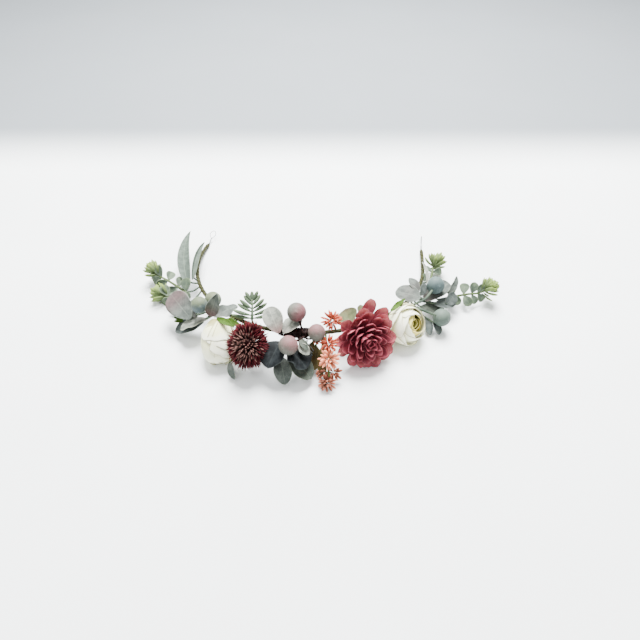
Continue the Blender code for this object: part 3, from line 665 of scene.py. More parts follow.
# Petals of one row of a rosette: a curve in the plane through the axis from (r0, h0) to (r1, h1)
# that leaves outwards, widened along the turn and cupped towards the axis.
def rosetteRow(base, axis, count, start, stop, width, turn=0.0, belly=0.75, sag=0.2, cup=0.25,
               curl=0.0, full=0.62, widest=0.62, jitter=0.06, seed=1, rows=17, columns=9, near=None,
               wave=0.0):
    random = np.random.default_rng(seed)
    first, second = squareTo(axis, near if near is not None else (0.0, 0.0, 1.0))
    angle = turn + np.arange(count) * (2.0 * np.pi) / count + random.normal(0.0, jitter, count) * 2.0
    r0, h0 = start
    r1 = stop[0] * (1.0 + random.normal(0.0, 0.5 * jitter, count))
    h1 = stop[1] + random.normal(0.0, jitter, count) * stop[0]
    v = np.linspace(0.0, 1.0, rows)[None, :, None]
    u = np.linspace(-1.0, 1.0, columns)[None, None, :]
    r1, h1 = r1[:, None, None], h1[:, None, None]
    rc, hc = r0 + belly * (r1 - r0), h0 + sag * (h1 - h0)
    run = (1 - v) ** 2 * r0 + 2 * v * (1 - v) * rc + v ** 2 * r1
    rise = (1 - v) ** 2 * h0 + 2 * v * (1 - v) * hc + v ** 2 * h1
    dr = 2 * (1 - v) * (rc - r0) + 2 * v * (r1 - rc)
    dh = 2 * (1 - v) * (hc - h0) + 2 * v * (h1 - hc)
    size = np.sqrt(dr ** 2 + dh ** 2)
    dr, dh = dr / size, dh / size
    outline = np.maximum(np.sin(np.pi * v ** (math.log(0.5) / math.log(widest))), 0.0) ** full
    half = 0.5 * width * (1.0 + random.normal(0.0, jitter, count))[:, None, None]
    half = half * np.maximum(outline, 0.34 * (1.0 - v))
    half = np.maximum(half, 0.03 * width)
    tilt = random.normal(0.0, 2.5 * jitter, count)[:, None, None]
    lift = half * (cup * u ** 2 + tilt * u) + curl * smooth(v, 0.6, 1.0) * width
    lift = lift + wave * half * np.sin(3.0 * np.pi * u + 9.0 * tilt) * smooth(v, 0.5, 1.0)
    run, rise = run - dh * lift, rise + dr * lift
    radial = np.cos(angle)[:, None] * first + np.sin(angle)[:, None] * second
    around = -np.sin(angle)[:, None] * first + np.cos(angle)[:, None] * second
    shift = half * u * (1.0 - 0.12 * cup * u ** 2)
    return (np.asarray(base) + run[..., None] * radial[:, None, None, :]
            + shift[..., None] * around[:, None, None, :] + rise[..., None] * axis)


# Cupped petals round a bud: on an ellipsoid, from the stem at polar angle `low` to a rim at
# `rim`, over +-`span` of turn. One edge stands out and the other tucks in, as the petals wind.
def cupRow(centre, axis, count, across, along, rim, span, turn=0.0, low=2.75, wind=0.06, drop=0.5,
           flare=0.0, wave=0.02, seed=1, rows=25, columns=21, near=None, point=0.0, jitter=0.03,
           narrow=0.45, swirl=0.0):
    random = np.random.default_rng(seed)
    first, second = squareTo(axis, near if near is not None else (0.0, 0.0, 1.0))
    at = turn + np.arange(count) * 2.0 * np.pi / count + random.normal(0.0, jitter * 2.0, count)
    v = np.linspace(0.0, 1.0, rows)[None, :, None]
    u = np.linspace(-1.0, 1.0, columns)[None, None, :]
    top = rim * (1.0 + random.normal(0.0, jitter, count))[:, None, None]
    top = top + drop * np.abs(u) ** 2.6 - point * (1.0 - np.abs(u)) ** 2
    phase = random.uniform(0.0, 6.3, count)[:, None, None]
    top = top + wave * np.sin(4.0 * np.pi * u + phase)
    polar = low + (top - low) * v
    open_ = span * (1.0 - narrow + narrow * smooth(v, 0.0, 0.45))
    angle = at[:, None, None] + open_ * u + swirl * v
    size = 1.0 + wind * u + flare * smooth(v, 0.72, 1.0) ** 2
    size = size + 0.006 * np.sin(7.0 * u + phase) * v
    radial = (np.cos(angle)[..., None] * first + np.sin(angle)[..., None] * second)
    return (np.asarray(centre) + (across * size * np.sin(polar))[..., None] * radial
            + (along * size * np.cos(polar))[..., None] * axis)


# Plump leaves or bristles: a line from base to tip bowed along its face, with an oval section
# of half widths w*f(v) and t*f(v), where f(v) closes both ends.
def spikes(bases, tips, faces, width, thick, bow=0.0, widest=0.5, full=0.6, rows=9, sides=8,
           foot=0.25):
    bases, tips, faces = (np.atleast_2d(np.asarray(item, float)) for item in (bases, tips, faces))
    length = np.linalg.norm(tips - bases, axis=1)
    forward = (tips - bases) / length[:, None]
    faces = np.broadcast_to(faces, bases.shape)
    normal = unit(faces - np.sum(faces * forward, 1, keepdims=True) * forward)
    side = np.cross(normal, forward)
    v = np.linspace(0.0, 1.0, rows)
    outline = np.maximum(np.sin(np.pi * v ** (math.log(0.5) / math.log(widest))), 0.0) ** full
    outline = np.maximum(outline, foot * (1.0 - v))
    outline = np.maximum(outline, 0.05)[None, :, None]
    angle = np.linspace(0.0, 2.0 * np.pi, sides, endpoint=False)[None, None, :]
    width = np.broadcast_to(np.asarray(width, float), length.shape)[:, None, None]
    thick = np.broadcast_to(np.asarray(thick, float), length.shape)[:, None, None]
    v = v[None, :, None]
    bend = (np.broadcast_to(np.asarray(bow, float), length.shape) * length)[:, None, None]
    across = 0.5 * width * outline * np.cos(angle)
    lift = 0.5 * thick * outline * np.sin(angle) + bend * 4.0 * v * (1.0 - v)
    return (bases[:, None, None, :] + (length[:, None, None] * v * np.ones_like(angle))[..., None]
            * forward[:, None, None, :] + across[..., None] * side[:, None, None, :]
            + lift[..., None] * normal[:, None, None, :])


# Directions spread evenly over a ball about an axis, down to a polar angle: a sunflower spiral.
def spreadDirections(axis, count, reach, near=(0.0, 0.0, 1.0), seed=1, jitter=0.0):
    random = np.random.default_rng(seed)
    first, second = squareTo(axis, near)
    step = np.arange(count) + 0.5
    height = 1.0 - step / count * (1.0 - math.cos(reach))
    angle = step * goldenAngle
    size = np.sqrt(1.0 - height ** 2)
    ways = (np.outer(size * np.cos(angle), first) + np.outer(size * np.sin(angle), second)
            + np.outer(height, axis))
    ways = unit(ways + random.normal(0.0, jitter, ways.shape)) if jitter else ways
    return ways, height


# A berry: a ball of rings, a little flattened, with a small nub at its free end.
def berryGrid(centre, axis, radius, rows=33, columns=40, squash=0.96, nub=0.05):
    first, second = squareTo(axis, (0.1, 0.2, 1.0))
    polar = np.linspace(0.02, np.pi - 0.02, rows)[:, None]
    angle = np.linspace(0.0, 2.0 * np.pi, columns, endpoint=False)[None, :]
    size = radius * (1.0 + nub * np.exp(-(polar / 0.13) ** 2)
                     - 0.03 * np.exp(-((polar - 0.3) / 0.16) ** 2)
                     + 0.04 * np.exp(-((np.pi - polar) / 0.2) ** 2))
    size = size * (1.0 + 0.006 * np.sin(3.0 * angle + 4.0 * polar))
    radial = np.cos(angle)[..., None] * first + np.sin(angle)[..., None] * second
    grid = (centre + (size * np.sin(polar))[..., None] * radial
            + squash * (size * np.cos(polar) * np.ones_like(angle))[..., None] * axis)
    return grid[::-1]


# the taped wire band and its tails

tapeWinding = dict(pitch=0.0058, ridge=0.00028, sides=22, step=0.00045, hinge=0.006)


def tapeRun(name, start, stop, body, stands, endTaper=0.0):
    count = int(abs(stop - start) / tapeWinding["step"]) + 1
    along = np.linspace(start, stop, count)
    angle = np.linspace(0.0, 1.0, tapeWinding["sides"], endpoint=False)[None, :]
    winding = (along[:, None] / tapeWinding["pitch"] + math.copysign(1.0, stop - start) * angle) % 1.0
    step = winding * smooth(1.0 - winding, 0.0, 0.18)
    crumple = 0.5 + 0.5 * np.sin(along[:, None] * 2300.0 + 5.0 * np.sin(along[:, None] * 700.0)
                                 + 12.0 * angle)
    radius = bandShape["rest"] - 0.0001 + tapeWinding["ridge"] * step + 0.00006 * crumple
    if endTaper:
        radius = radius * (1.0 - 0.45 * smooth(np.abs(along - start)[:, None],
                                               abs(stop - start) - endTaper, abs(stop - start)))
    piece = Stack()
    # ridge: painted shade at the foot of each winding's edge, a painted highlight on its raised lip
    piece.add(tubeGrid(bandPath(along), radius, tapeWinding["sides"], upright=True), closed=True,
              ridge=0.25 + 0.6 * step[None])
    return piece.build(name, body, tapeWrap, "floral_tape", stands)


leftBend, rightBend = bandShape["leftHinge"], bandShape["rightHinge"]
bend = tapeWinding["hinge"]
tapeRun("bandTapeWinding", leftBend + bend, rightBend - bend, "crown", ("band_tape", "core_wire"))
tapeRun("leftTailWinding", leftBend + bend, bandShape["leftEnd"],
        ("crown", "left_tail", bandPath(leftBend + 0.004)[0], bandPath(leftBend - 0.004)[0]),
        ("left_tail_tape", "left_tail_wire"), endTaper=0.003)
tapeRun("rightTailWinding", rightBend - bend, bandShape["rightEnd"],
        ("crown", "right_tail", bandPath(rightBend - 0.004)[0], bandPath(rightBend + 0.004)[0]),
        ("right_tail_tape", "right_tail_wire"), endTaper=0.003)


# an end loop: two strands twisted at the neck, opening into a teardrop

loopShape = dict(length=0.015, width=0.0064, wire=0.00028, neck=0.26, twists=1.5, pitch=22.0)


def endLoop(side, end, inwards, roll):
    count = 90
    turn = np.pi * (1.0 - 2.0 * np.linspace(0.0, 1.0, count))
    reach = 0.5 * (1.0 + np.cos(turn))
    open_ = smooth(reach, loopShape["neck"], 0.75)
    wide = 0.59 * loopShape["width"] * np.sin(turn) * (0.35 + 0.65 * np.sqrt(reach)) * open_
    strand = np.where(turn > 0.0, 1.0, -1.0) * 1.1 * loopShape["wire"] * (1.0 - open_)
    spin = 2.0 * np.pi * loopShape["twists"] * reach / loopShape["neck"]
    spin = np.where(reach < loopShape["neck"], spin, 2.0 * np.pi * loopShape["twists"])
    place = np.array(joints[side + "_loop_swing"]["pos_m"])
    heading = unit(bandPath(end)[0] - bandPath(end - 0.002 * np.sign(end))[0])
    heading = unit([heading[0], heading[1], 0.0])
    level = np.cross([0.0, 0.0, 1.0], heading)
    lean = math.radians(loopShape["pitch"])
    forward = math.cos(lean) * heading + math.sin(lean) * np.array([0.0, 0.0, 1.0])
    over = np.cross(forward, level)
    across = math.cos(roll) * level + math.sin(roll) * over
    third = np.cross(forward, across)
    run = loopShape["length"] * reach - inwards * (1.0 - reach) ** 8
    line = (place + np.outer(run, forward) + np.outer(wide + strand * np.cos(spin), across)
            + np.outer(strand * np.sin(spin), third))
    piece = Stack()
    piece.add(tubeGrid(line, loopShape["wire"], 10), closed=True, ridge=0.6)
    piece.build(side + "LoopWire", side + "_loop", steelWire, "wire", (side + "_end_loop",))


endLoop("left", bandShape["leftEnd"], 0.0009, 0.0)
endLoop("right", bandShape["rightEnd"], 0.0009, 0.5 * math.pi)
print("band, tails and loops are made")


# the dahlia

def turnedAxis(front, back):
    start = nodePoints(back).mean(0)
    return start, unit(nodePoints(front).mean(0) - start)


dahliaRows = [
    # count, start (r, h), stop (r, h), width, belly, sag, cup, curl, full, seed   (millimetres)
    (10, (4.5, 0.8), (26.8, 6.0), 12.0, 0.60, 0.10, 0.30, 0.10, 0.55, 11),
    (10, (4.3, 2.0), (25.2, 10.0), 11.6, 0.66, 0.12, 0.36, 0.10, 0.55, 12),
    (10, (4.0, 3.4), (22.0, 13.6), 11.0, 0.72, 0.12, 0.42, 0.08, 0.56, 13),
    (9, (3.6, 4.8), (18.0, 16.6), 10.0, 0.78, 0.14, 0.50, 0.04, 0.56, 14),
    (8, (3.2, 6.2), (13.6, 19.0), 8.8, 0.85, 0.18, 0.56, 0.0, 0.56, 15),
    (6, (2.6, 7.6), (9.2, 20.4), 7.8, 0.95, 0.2, 0.64, -0.04, 0.58, 16),
    (4, (1.6, 9.0), (5.0, 20.6), 6.8, 1.15, 0.3, 0.7, -0.10, 0.60, 17),
    (3, (0.8, 10.0), (2.2, 19.6), 5.0, 1.5, 0.3, 0.7, -0.1, 0.62, 18),
]


def makeDahlia():
    start, axis = turnedAxis("dahlia_inner_petals", "dahlia_calyx")
    base = start + 2.2 * mm * axis
    random = np.random.default_rng(5)
    outer, inner = Stack(), Stack()
    for order, row in enumerate(dahliaRows):
        count, begin, stop, width, belly, sag, cup, curl, full, seed = row
        grid = rosetteRow(base, axis, count, np.array(begin) * mm, np.array(stop) * mm, width * mm,
                          turn=order * 0.37, belly=belly, sag=sag, cup=cup, curl=curl, full=full,
                          seed=seed, wave=0.06, widest=0.68)
        tone = np.clip(0.75 - 0.09 * order + random.normal(0.0, 0.15, count), 0.0, 1.0)
        (outer if order < 3 else inner).add(grid, tone=tone)
    pick = picks["dahlia"]
    tall = [((2.0, 3.0, 4.0), (-5.0, 8.8, 24.0), 12.5), ((2.5, 8.0, 3.0), (4.0, 19.0, 18.0), 12.0)]
    for order, (foot, tip, width) in enumerate(tall):
        face = leanOn(pick, (0.9, 0.0, 0.35))
        grid = leafGrid(*onPick(pick, [foot, tip]), face, width * mm, widest=0.64, full=0.52, cup=0.34,
                        arch=-0.10, rows=17, columns=11)
        outer.add(grid, tone=0.7)
    bud = berryGrid(base + 9.5 * mm * axis, axis, 6.0 * mm, rows=17, columns=24, nub=0.0)
    inner.add(bud, closed=True, tone=0.1)
    outer.build("dahliaOuterPetals", "crown", crimsonPetal, "dahlia_petal", ("dahlia_outer_petals",),
                wall=0.3 * mm)
    inner.build("dahliaInnerPetals", "crown", crimsonHeartLitRims, "dahlia_petal", ("dahlia_inner_petals",),
                wall=0.3 * mm)


makeDahlia()
print("dahlia is made")


# the roses

def makeRose(name, petals, heart, centre, axis, rows, heartRows, heartLook):
    random = np.random.default_rng(len(name))
    shell, core = Stack(), Stack()
    for target, layers in ((shell, rows), (core, heartRows)):
        for layer in layers:
            grid = cupRow(centre, axis, **layer)
            target.add(grid, tone=random.uniform(0.2, 0.8, len(grid)))
    shell.build(name + "Petals", "crown", creamPetal, "rose_petal", (petals,), wall=0.3 * mm)
    core.build(name + "Heart", "crown", heartLook, "rose_heart", (heart,), wall=0.25 * mm)


rightFacing = unit((0.60, -0.53, 0.60))
rightCentre = middle("right_rose_petals") + np.array([-0.0005, 0.001, 0.002])
rightRows = [
    dict(count=3, across=0.0168, along=0.0152, rim=1.22, span=1.30, turn=2.3, wind=0.05, drop=0.55,
         flare=0.07, seed=21),
    dict(count=3, across=0.0160, along=0.0152, rim=0.98, span=1.30, turn=1.3, wind=0.07, drop=0.5,
         flare=0.05, seed=22),
    dict(count=3, across=0.0150, along=0.0152, rim=0.78, span=1.25, turn=0.4, wind=0.08, drop=0.45,
         flare=0.05, seed=23),
    dict(count=3, across=0.0138, along=0.0149, rim=0.62, span=1.2, turn=1.5, wind=0.09, drop=0.35,
         flare=0.04, seed=24),
]
rightHeart = [
    dict(count=3, across=0.0116, along=0.0142, rim=0.53, span=1.15, turn=0.5, low=2.2, wind=0.1,
         drop=0.3, seed=26),
    dict(count=3, across=0.0084, along=0.0122, rim=0.52, span=1.15, turn=1.5, low=2.2, wind=0.12,
         drop=0.2, seed=27),
    dict(count=2, across=0.0050, along=0.0106, rim=0.45, span=1.4, turn=0.3, low=2.2, wind=0.16,
         drop=0.2, seed=28),
]
makeRose("rightRose", "right_rose_petals", "right_rose_heart", rightCentre, rightFacing, rightRows,
         rightHeart, heartPetal)

leftFacing = unit((0.06, -0.84, -0.50))
leftCentre = middle("left_rose_petals") + np.array([0.0, 0.0, 0.001])
leftRows = [
    dict(count=1, across=0.0148, along=0.0194, rim=1.50, span=1.55, turn=-0.25, wind=0.01, drop=0.55,
         flare=0.01, narrow=0.05, swirl=0.2, low=3.0, seed=31),
    dict(count=2, across=0.0145, along=0.0197, rim=1.12, span=1.7, turn=1.2, wind=0.03, drop=0.4,
         flare=0.0, narrow=0.05, swirl=0.8, low=3.0, seed=32),
    dict(count=3, across=0.0142, along=0.0200, rim=0.82, span=1.3, turn=0.4, wind=0.04, drop=0.35,
         flare=0.0, point=0.1, narrow=0.05, swirl=0.8, low=3.0, seed=33),
]
leftHeart = [
    dict(count=3, across=0.0138, along=0.0202, rim=0.56, span=1.3, turn=1.2, wind=0.05, drop=0.3,
         point=0.1, narrow=0.05, swirl=0.8, seed=34),
    dict(count=3, across=0.0132, along=0.0205, rim=0.30, span=1.3, turn=0.3, wind=0.06, drop=0.25,
         flare=-0.15, point=0.1, narrow=0.05, swirl=0.8, seed=35),
]
makeRose("leftRose", "left_rose_petals", "left_rose_heart", leftCentre, leftFacing, leftRows,
         leftHeart, creamPetal)
print("roses are made")


# the thistle: bristles on a ball, longest towards its face

thistleShape = dict(count=680, reach=2.3, core=0.0052, side=0.0172, high=0.0198, width=0.00112,
                    axis=seen, dusty=0.93)


def makeThistle():
    random = np.random.default_rng(42)
    low, high = boxOf("thistle_bristles")
    centre = 0.5 * (low + high)
    axis = unit(thistleShape["axis"])
    ways, height = spreadDirections(axis, thistleShape["count"], thistleShape["reach"], seed=3,
                                    jitter=0.04)
    upright = np.array([0.0, 0.74, 0.67])
    longer = np.abs(ways @ upright) ** 2
    length = thistleShape["side"] + (thistleShape["high"] - thistleShape["side"]) * longer
    length = length * random.normal(1.0, 0.05, len(ways))
    tips = centre + ways * length[:, None]
    bases = centre + ways * thistleShape["core"]
    tone = np.clip(0.5 + 0.3 * random.normal(0.0, 1.0, len(ways)), 0.0, 1.0)
    inner = random.uniform(0.0, 1.0, len(ways)) < smooth(height, 0.45, thistleShape["dusty"])
    for name, chosen, material in (("thistleBristles", ~inner, bristle),
                                   ("thistleTips", inner, bristleDusty)):
        piece = Stack()
        piece.add(spikes(bases[chosen], tips[chosen], [0.1, 0.2, 0.97], thistleShape["width"],
                         thistleShape["width"], widest=0.8, full=0.4, rows=6, sides=5, foot=0.4),
                  closed=True, tone=tone[chosen])
        piece.build(name, "crown", material, "thistle", ("thistle_bristles",))
    core = Stack()
    core.add(berryGrid(centre, axis, 0.0068, rows=21, columns=28, nub=0.0), closed=True, tone=0.1)
    core.build("thistleCore", "crown", bristle, "green_stem", ("thistle_core",))


makeThistle()
print("thistle is made")


# leaves that follow their CAD solids: node, material, and how each is shaped

leafStyles = {
    "left_leaf_long": (paleLeaf, "leftLeaves",
        dict(widest=0.55, full=0.6, cup=0.30, arch=0.08, wave=0.10, wide=1.5, long=1.1), (0.0, 0.15)),
    "left_leaf_under": (duskLeaf, "leftLeaves",
        dict(widest=0.5, full=0.6, cup=0.15, arch=0.05, wave=0.05, wide=1.3, long=1.12), (0.0, 0.1)),
    "left_leaf_upright": (sageLeaf, "leftLeaves",
        dict(widest=0.45, full=0.75, cup=0.35, arch=0.08, wave=0.06, wide=1.25), (0.12, 0.7)),
    "left_leaf_inner": (sageLeaf, "leftLeaves",
        dict(widest=0.5, full=0.6, cup=0.15, arch=0.04, wave=0.30, waves=1.6), (0.0, 0.2)),
    "center_leaf_upper_left": (paleLeaf, "center",
        dict(widest=0.58, full=0.5, cup=0.22, arch=0.06, wave=0.05, wide=1.25, long=1.05), (0.0, 0.75)),
    "center_leaf_upper_right": (paleLeaf, "center",
        dict(widest=0.55, full=0.5, cup=0.15, arch=0.05, wave=0.06, wide=1.35, long=1.08), (0.0, 0.2)),
    "center_leaf_dark_left": (slateLeaf, "center",
        dict(widest=0.5, full=0.5, cup=0.25, arch=0.06, wave=0.08, wide=1.5, long=1.08), (0.0, 0.2)),
    "center_leaf_dark_right": (slateLeaf, "center",
        dict(widest=0.55, full=0.5, cup=0.20, arch=0.08, wave=0.14, wide=1.6), (0.0, 0.1)),
    "center_leaf_lower_left": (sageLeaf, "center",
        dict(widest=0.5, full=0.55, cup=0.2, arch=0.08, wave=0.05, wide=1.15), (0.0, 0.1)),
    "center_leaf_lower_right": (mossLeaf, "center",
        dict(widest=0.55, full=0.5, cup=0.2, arch=0.08, wave=0.06, wide=1.3), (0.0, 0.1)),
    "dahlia_leaf_left": (fernLeaf, "dahlia",
        dict(widest=0.38, full=0.9, cup=0.2, arch=0.05, crease=0.2, wide=1.4, long=1.0), (1.0, 0.6)),
    "dahlia_leaf_right": (fernLeaf, "dahlia",
        dict(widest=0.45, full=0.75, cup=0.2, arch=0.05, wide=1.2, long=1.1), (1.0, 0.3)),
    "right_leaf_round": (sageLeaf, "rightLeaves",
        dict(widest=0.52, full=0.5, cup=0.12, arch=0.05, wave=0.05, wide=1.25, long=1.05), (0.5, 0.15)),
    "right_leaf_cupped": (sageLeaf, "rightLeaves",
        dict(widest=0.52, full=0.5, cup=0.36, arch=0.05, wave=0.05, wide=1.25), (0.0, 0.35)),
    "right_leaf_under": (mossLeaf, "rightLeaves",
        dict(widest=0.5, full=0.6, cup=0.15, arch=0.05, wave=0.08), (0.0, 0.1)),
    "right_leaf_lower": (duskLeaf, "rightLeaves",
        dict(widest=0.5, full=0.55, cup=0.2, arch=0.05, wave=0.05), (0.0, 0.1)),
}


def blushOf(grid, at, amount, spread=0.3):
    rows = grid.shape[-3]
    v = np.linspace(0.0, 1.0, rows)[:, None]
    return np.broadcast_to(amount * np.exp(-((v - at) / spread) ** 2), grid.shape[-3:-1])


def nodeSlot(node):
    return next(part["material_slot"] for part in frame["record"]["subparts"] if part["node"] == node)


leafFeet = {}                             # where each pick's leaves begin, for their stalks


def markFoot(hub, grid, row=2):
    leafFeet.setdefault(hub, []).append(grid[..., row, grid.shape[-2] // 2, :].reshape(3))


def makeLeaves():
    random = np.random.default_rng(8)
    for order, (node, (material, hub, shape, (at, amount))) in enumerate(leafStyles.items()):
        base, tip, face, width = leafPlace(node, picks[hub][0])
        shape = dict(shape)
        width *= shape.pop("wide", 1.0)
        tip = base + (tip - base) * shape.pop("long", 1.0)
        grid = leafGrid(base, tip, face, width, phase=order * 1.7, rows=29, columns=17, **shape)
        markFoot(hub, grid)
        piece = Stack()
        piece.add(grid, tone=random.uniform(0.3, 0.7, 1), blush=blushOf(grid, at, amount))
        name = camelName(node)
        piece.build(name, "crown", material, nodeSlot(node), (node,), wall=0.35 * mm)


makeLeaves()

# more leaves on each pick: base and tip (out, along, up) in millimetres, width, face, shape
extraLeaves = {
    "leftLeafRound": ("leftLeaves", sageLeaf, "eucalyptus", [
        ((25.3, -1.0, 1.3), (22.6, -36.6, 3.3), 22, (0.4, 0.3, 0.85),
         dict(widest=0.58, full=0.5, cup=0.12, arch=0.05, wave=0.05, rows=29), (0.8, 0.6))]),
    "leftCuppedLeaf": ("leftLeaves", sageLeaf, "eucalyptus", [
        ((20.9, -0.1, 1.3), (17.0, -20.4, 5.3), 10, (0.7, 0.2, 0.7),
         dict(widest=0.5, full=0.6, cup=0.45, arch=0.04), (0.0, 0.2))]),
    "leftBrightTips": ("leftLeaves", greenLeaf, "green_stem", [
        ((25.6, -14.8, -8.7), (31.5, -23.0, -9.7), 5, (0.4, 0.0, 0.9),
         dict(full=0.9), (0.0, 0.1)),
        ((25.0, -12.0, -9.0), (34.0, -18.5, -9.7), 5, (0.4, 0.0, 0.9),
         dict(full=0.9), (0.0, 0.1))]),
    "leftRoseSepals": ("leftRose", greenLeaf, "green_stem", [
        ((14.0, -8.0, 8.2), (15.7, 13.0, 12.2), 5.5, (0.3, 0.0, 0.9),
         dict(full=0.7, cup=0.2, wave=0.1), (0.0, 0.3)),
        ((9, -4, 5.0), (8, 15, 6.0), 5, (0.5, 0.0, 0.85),
         dict(full=0.9, cup=0.2), (0.0, 0.3))]),
    "leftRosePaleLeaf": ("leftRose", sageLeaf, "eucalyptus", [
        ((33.0, 20.0, -9.2), (40.8, 30.6, -18.0), 7, (0.8, 0.0, 0.6),
         dict(full=0.7, cup=0.3), (0.0, 0.1))]),
    "coralOliveLeaves": ("coral", oliveLeaf, "green_stem", [
        ((5, -10, -8), (24, -13, -18), 9, (0.7, 0.0, 0.7),
         dict(full=0.7, cup=0.3, wave=0.1), (0.6, 0.3)),
        ((8, -5, -8), (30, -9, -20), 8, (0.7, 0.0, 0.7),
         dict(full=0.7, cup=0.3, wave=0.1), (0.8, 0.3)),
        ((4, -12, -5), (16, -17, -13), 7, (0.7, -0.3, 0.6),
         dict(full=0.7, cup=0.3), (0.4, 0.2))]),
    "centerPaleLeaf": ("center", paleLeaf, "eucalyptus", [
        ((13.9, 9.7, 3.1), (20.5, 19.0, -0.4), 8, (0.6, 0.2, 0.7),
         dict(full=0.6, cup=0.3, wave=0.15), (0.0, 0.2))]),
    "centerSmallLeaf": ("center", mossLeaf, "eucalyptus", [
        ((10.0, 10.0, 4.6), (19.0, 17.0, 2.6), 6, (0.5, 0.3, 0.8),
         dict(full=0.7, cup=0.3), (0.0, 0.2))]),
    "rightRoseGreenLeaf": ("rightRose", greenLeaf, "green_stem", [
        ((2.9, 6.8, 12.4), (5.1, -15.1, 13.8), 4.4, (0.2, 0.1, 0.95),
         dict(full=0.6, cup=0.2, widest=0.6, arch=0.05, wave=0.2), (0.0, 0.2))]),
    "rightSlimLeaves": ("rightLeaves", sageLeaf, "eucalyptus", [
        ((3.9, 6.5, 3.9), (-10.4, 13.7, 7.9), 9, (0.5, -0.3, 0.8),
         dict(full=0.7, cup=0.2), (0.3, 0.2)),
        ((26.4, 18.7, 3.9), (25.1, 38.3, 9.9), 8, (0.8, -0.2, 0.5),
         dict(full=0.8, cup=0.3, wave=0.1), (0.0, 0.1))]),
    "rightLowLeaves": ("rightLeaves", duskLeaf, "dark_eucalyptus", [
        ((7.6, 3.0, 3.9), (4.7, 14.0, 9.9), 7, (0.5, 0.0, 0.85),
         dict(full=0.7, cup=0.2), (0.0, 0.1)),
        ((27.6, -7.9, -8.1), (36.8, -15.7, -12.1), 9, (0.6, 0.0, 0.8),
         dict(full=0.55, cup=0.2), (0.0, 0.1)),
        ((29.2, 11.1, -2.1), (30.6, 25.4, 1.9), 11, (0.6, 0.0, 0.8),
         dict(full=0.55, cup=0.2, wave=0.1), (0.0, 0.1)),
        ((19.8, 6.2, -2.1), (35.6, 19.2, -4.1), 10, (0.6, 0.0, 0.8),
         dict(full=0.6, cup=0.2), (0.0, 0.1))]),
    "rightTailLeaf": ("rightSprig", paleLeaf, "stonecrop", [
        ((7.5, -4.9, 3.9), (-5.2, 31.6, -2.1), 3.4, (0.3, -0.2, 0.9),
         dict(full=0.5, cup=0.4, widest=0.35), (0.0, 0.1))]),
    "willowLeafTall": ("leftSprig", willowLeaf, "willow", [
        ((10.0, -5.9, 0.5), (-11.5, -75.0, 7.0), 12.0, (0.28, 0.61, 0.74),
         dict(full=0.8, widest=0.36, cup=0.3, arch=0.06, sweep=-0.0040, rows=33), (0.0, 0.1))]),
    "willowLeafSlim": ("leftSprig", willowLeaf, "willow", [
        ((5.0, -10.5, 1.5), (-20.3, -57.0, 3.0), 5.4, (-0.28, 0.61, 0.74),
         dict(full=0.7, widest=0.35, cup=0.3, arch=0.05, crease=0.6, sweep=-0.0036, rows=33),
         (0.0, 0.1))]),
}
standsFor = {"leftLeafRound": ("left_leaf_round",), "willowLeafTall": ("willow_leaf_tall",),
             "willowLeafSlim": ("willow_leaf_slim",)}


def makeExtraLeaves():
    for name, (hub, material, slot, leaves) in extraLeaves.items():
        pick = picks[hub]
        piece = Stack()
        for order, (base, tip, width, face, shape, (at, amount)) in enumerate(leaves):
            foot, point = onPick(pick, [base, tip])
            grid = leafGrid(foot, point, leanOn(pick, face), width * mm, phase=order * 2.1, **shape)
            markFoot(hub, grid)
            piece.add(grid, tone=0.3 + 0.2 * order, blush=blushOf(grid, at, amount))
        piece.build(name, "crown", material, slot, standsFor.get(name, ()), wall=0.3 * mm)


makeExtraLeaves()
print("leaves are made")


# berries: where the blush and the painted lit side (the lighter second colour) lie, as directions

berryLooks = {
    "center_berry_top": (rosyBerry, (0.9, -0.4, -0.1), 0.9, (0.0, -0.7, 0.7), (0.0, 0.3, 1.0)),
    "center_berry_front": (rosyBerry, (0.6, 0.3, 0.8), 0.7, (-0.5, -0.8, 0.3), (0.0, 0.3, 1.0)),
    "center_berry_right": (rosyBerry, (0.2, 0.5, 1.0), 0.7, (0.0, -0.9, 0.3), (0.3, 0.0, 1.0)),
    "left_berry_blue": (blueBerry, (0.0, 0.0, 1.0), 0.0, (0.3, -0.8, 0.4), (-0.3, 0.6, 0.9)),
    "left_berry_sage": (sageBerry, (0.0, 0.3, 1.0), 0.8, (0.3, -0.8, 0.4), (0.0, 0.6, 0.9)),
    "right_berry_top": (duckBerry, (-0.5, 0.0, 0.6), 0.3, (0.2, -0.8, 0.5), (0.0, 0.9, 0.3)),
    "right_berry_side": (sageBerry, (-0.2, 0.0, 1.0), 0.1, (0.5, -0.8, 0.3), (0.0, 0.5, 0.8)),
}


def makeBerries():
    for node, (material, blushWay, blush, nubWay, litWay) in berryLooks.items():
        low, high = boxOf(node)
        centre, radius = 0.5 * (low + high), 0.5 * float((high - low).max())
        grid = berryGrid(centre, unit(nubWay), radius * 1.03)
        way = unit(grid - centre)
        # painted light: points facing litWay, towards the key lamp, get the lighter lit colour, the rest painted
        # shade
        lift = 0.5 + 0.5 * way @ unit(litWay)
        flush = blush * (0.5 + 0.62 * way @ unit(blushWay)).clip(0.0, 1.0)
        piece = Stack()
        piece.add(grid, closed=True, lift=lift[None], blush=flush[None])
        name = camelName(node)
        piece.build(name, "crown", material, nodeSlot(node), (node,))


makeBerries()


# stems that follow their CAD solids, and the brown stems twisted at the middle

def spineOf(node, hub, count=6):
    points = nodePoints(node)
    centre = points.mean(0)
    long = np.linalg.eigh(np.cov((points - centre).T))[1][:, 2]
    if np.dot(centre - hub, long) < 0.0:
        long = -long
    run = (points - centre) @ long
    edges = np.quantile(run, np.linspace(0.0, 1.0, count + 1))
    middles = [points[(run >= low) & (run <= high)].mean(0) for low, high in zip(edges, edges[1:])]
    return np.array([centre + long * run.min(), *middles[1:-1], centre + long * run.max()])


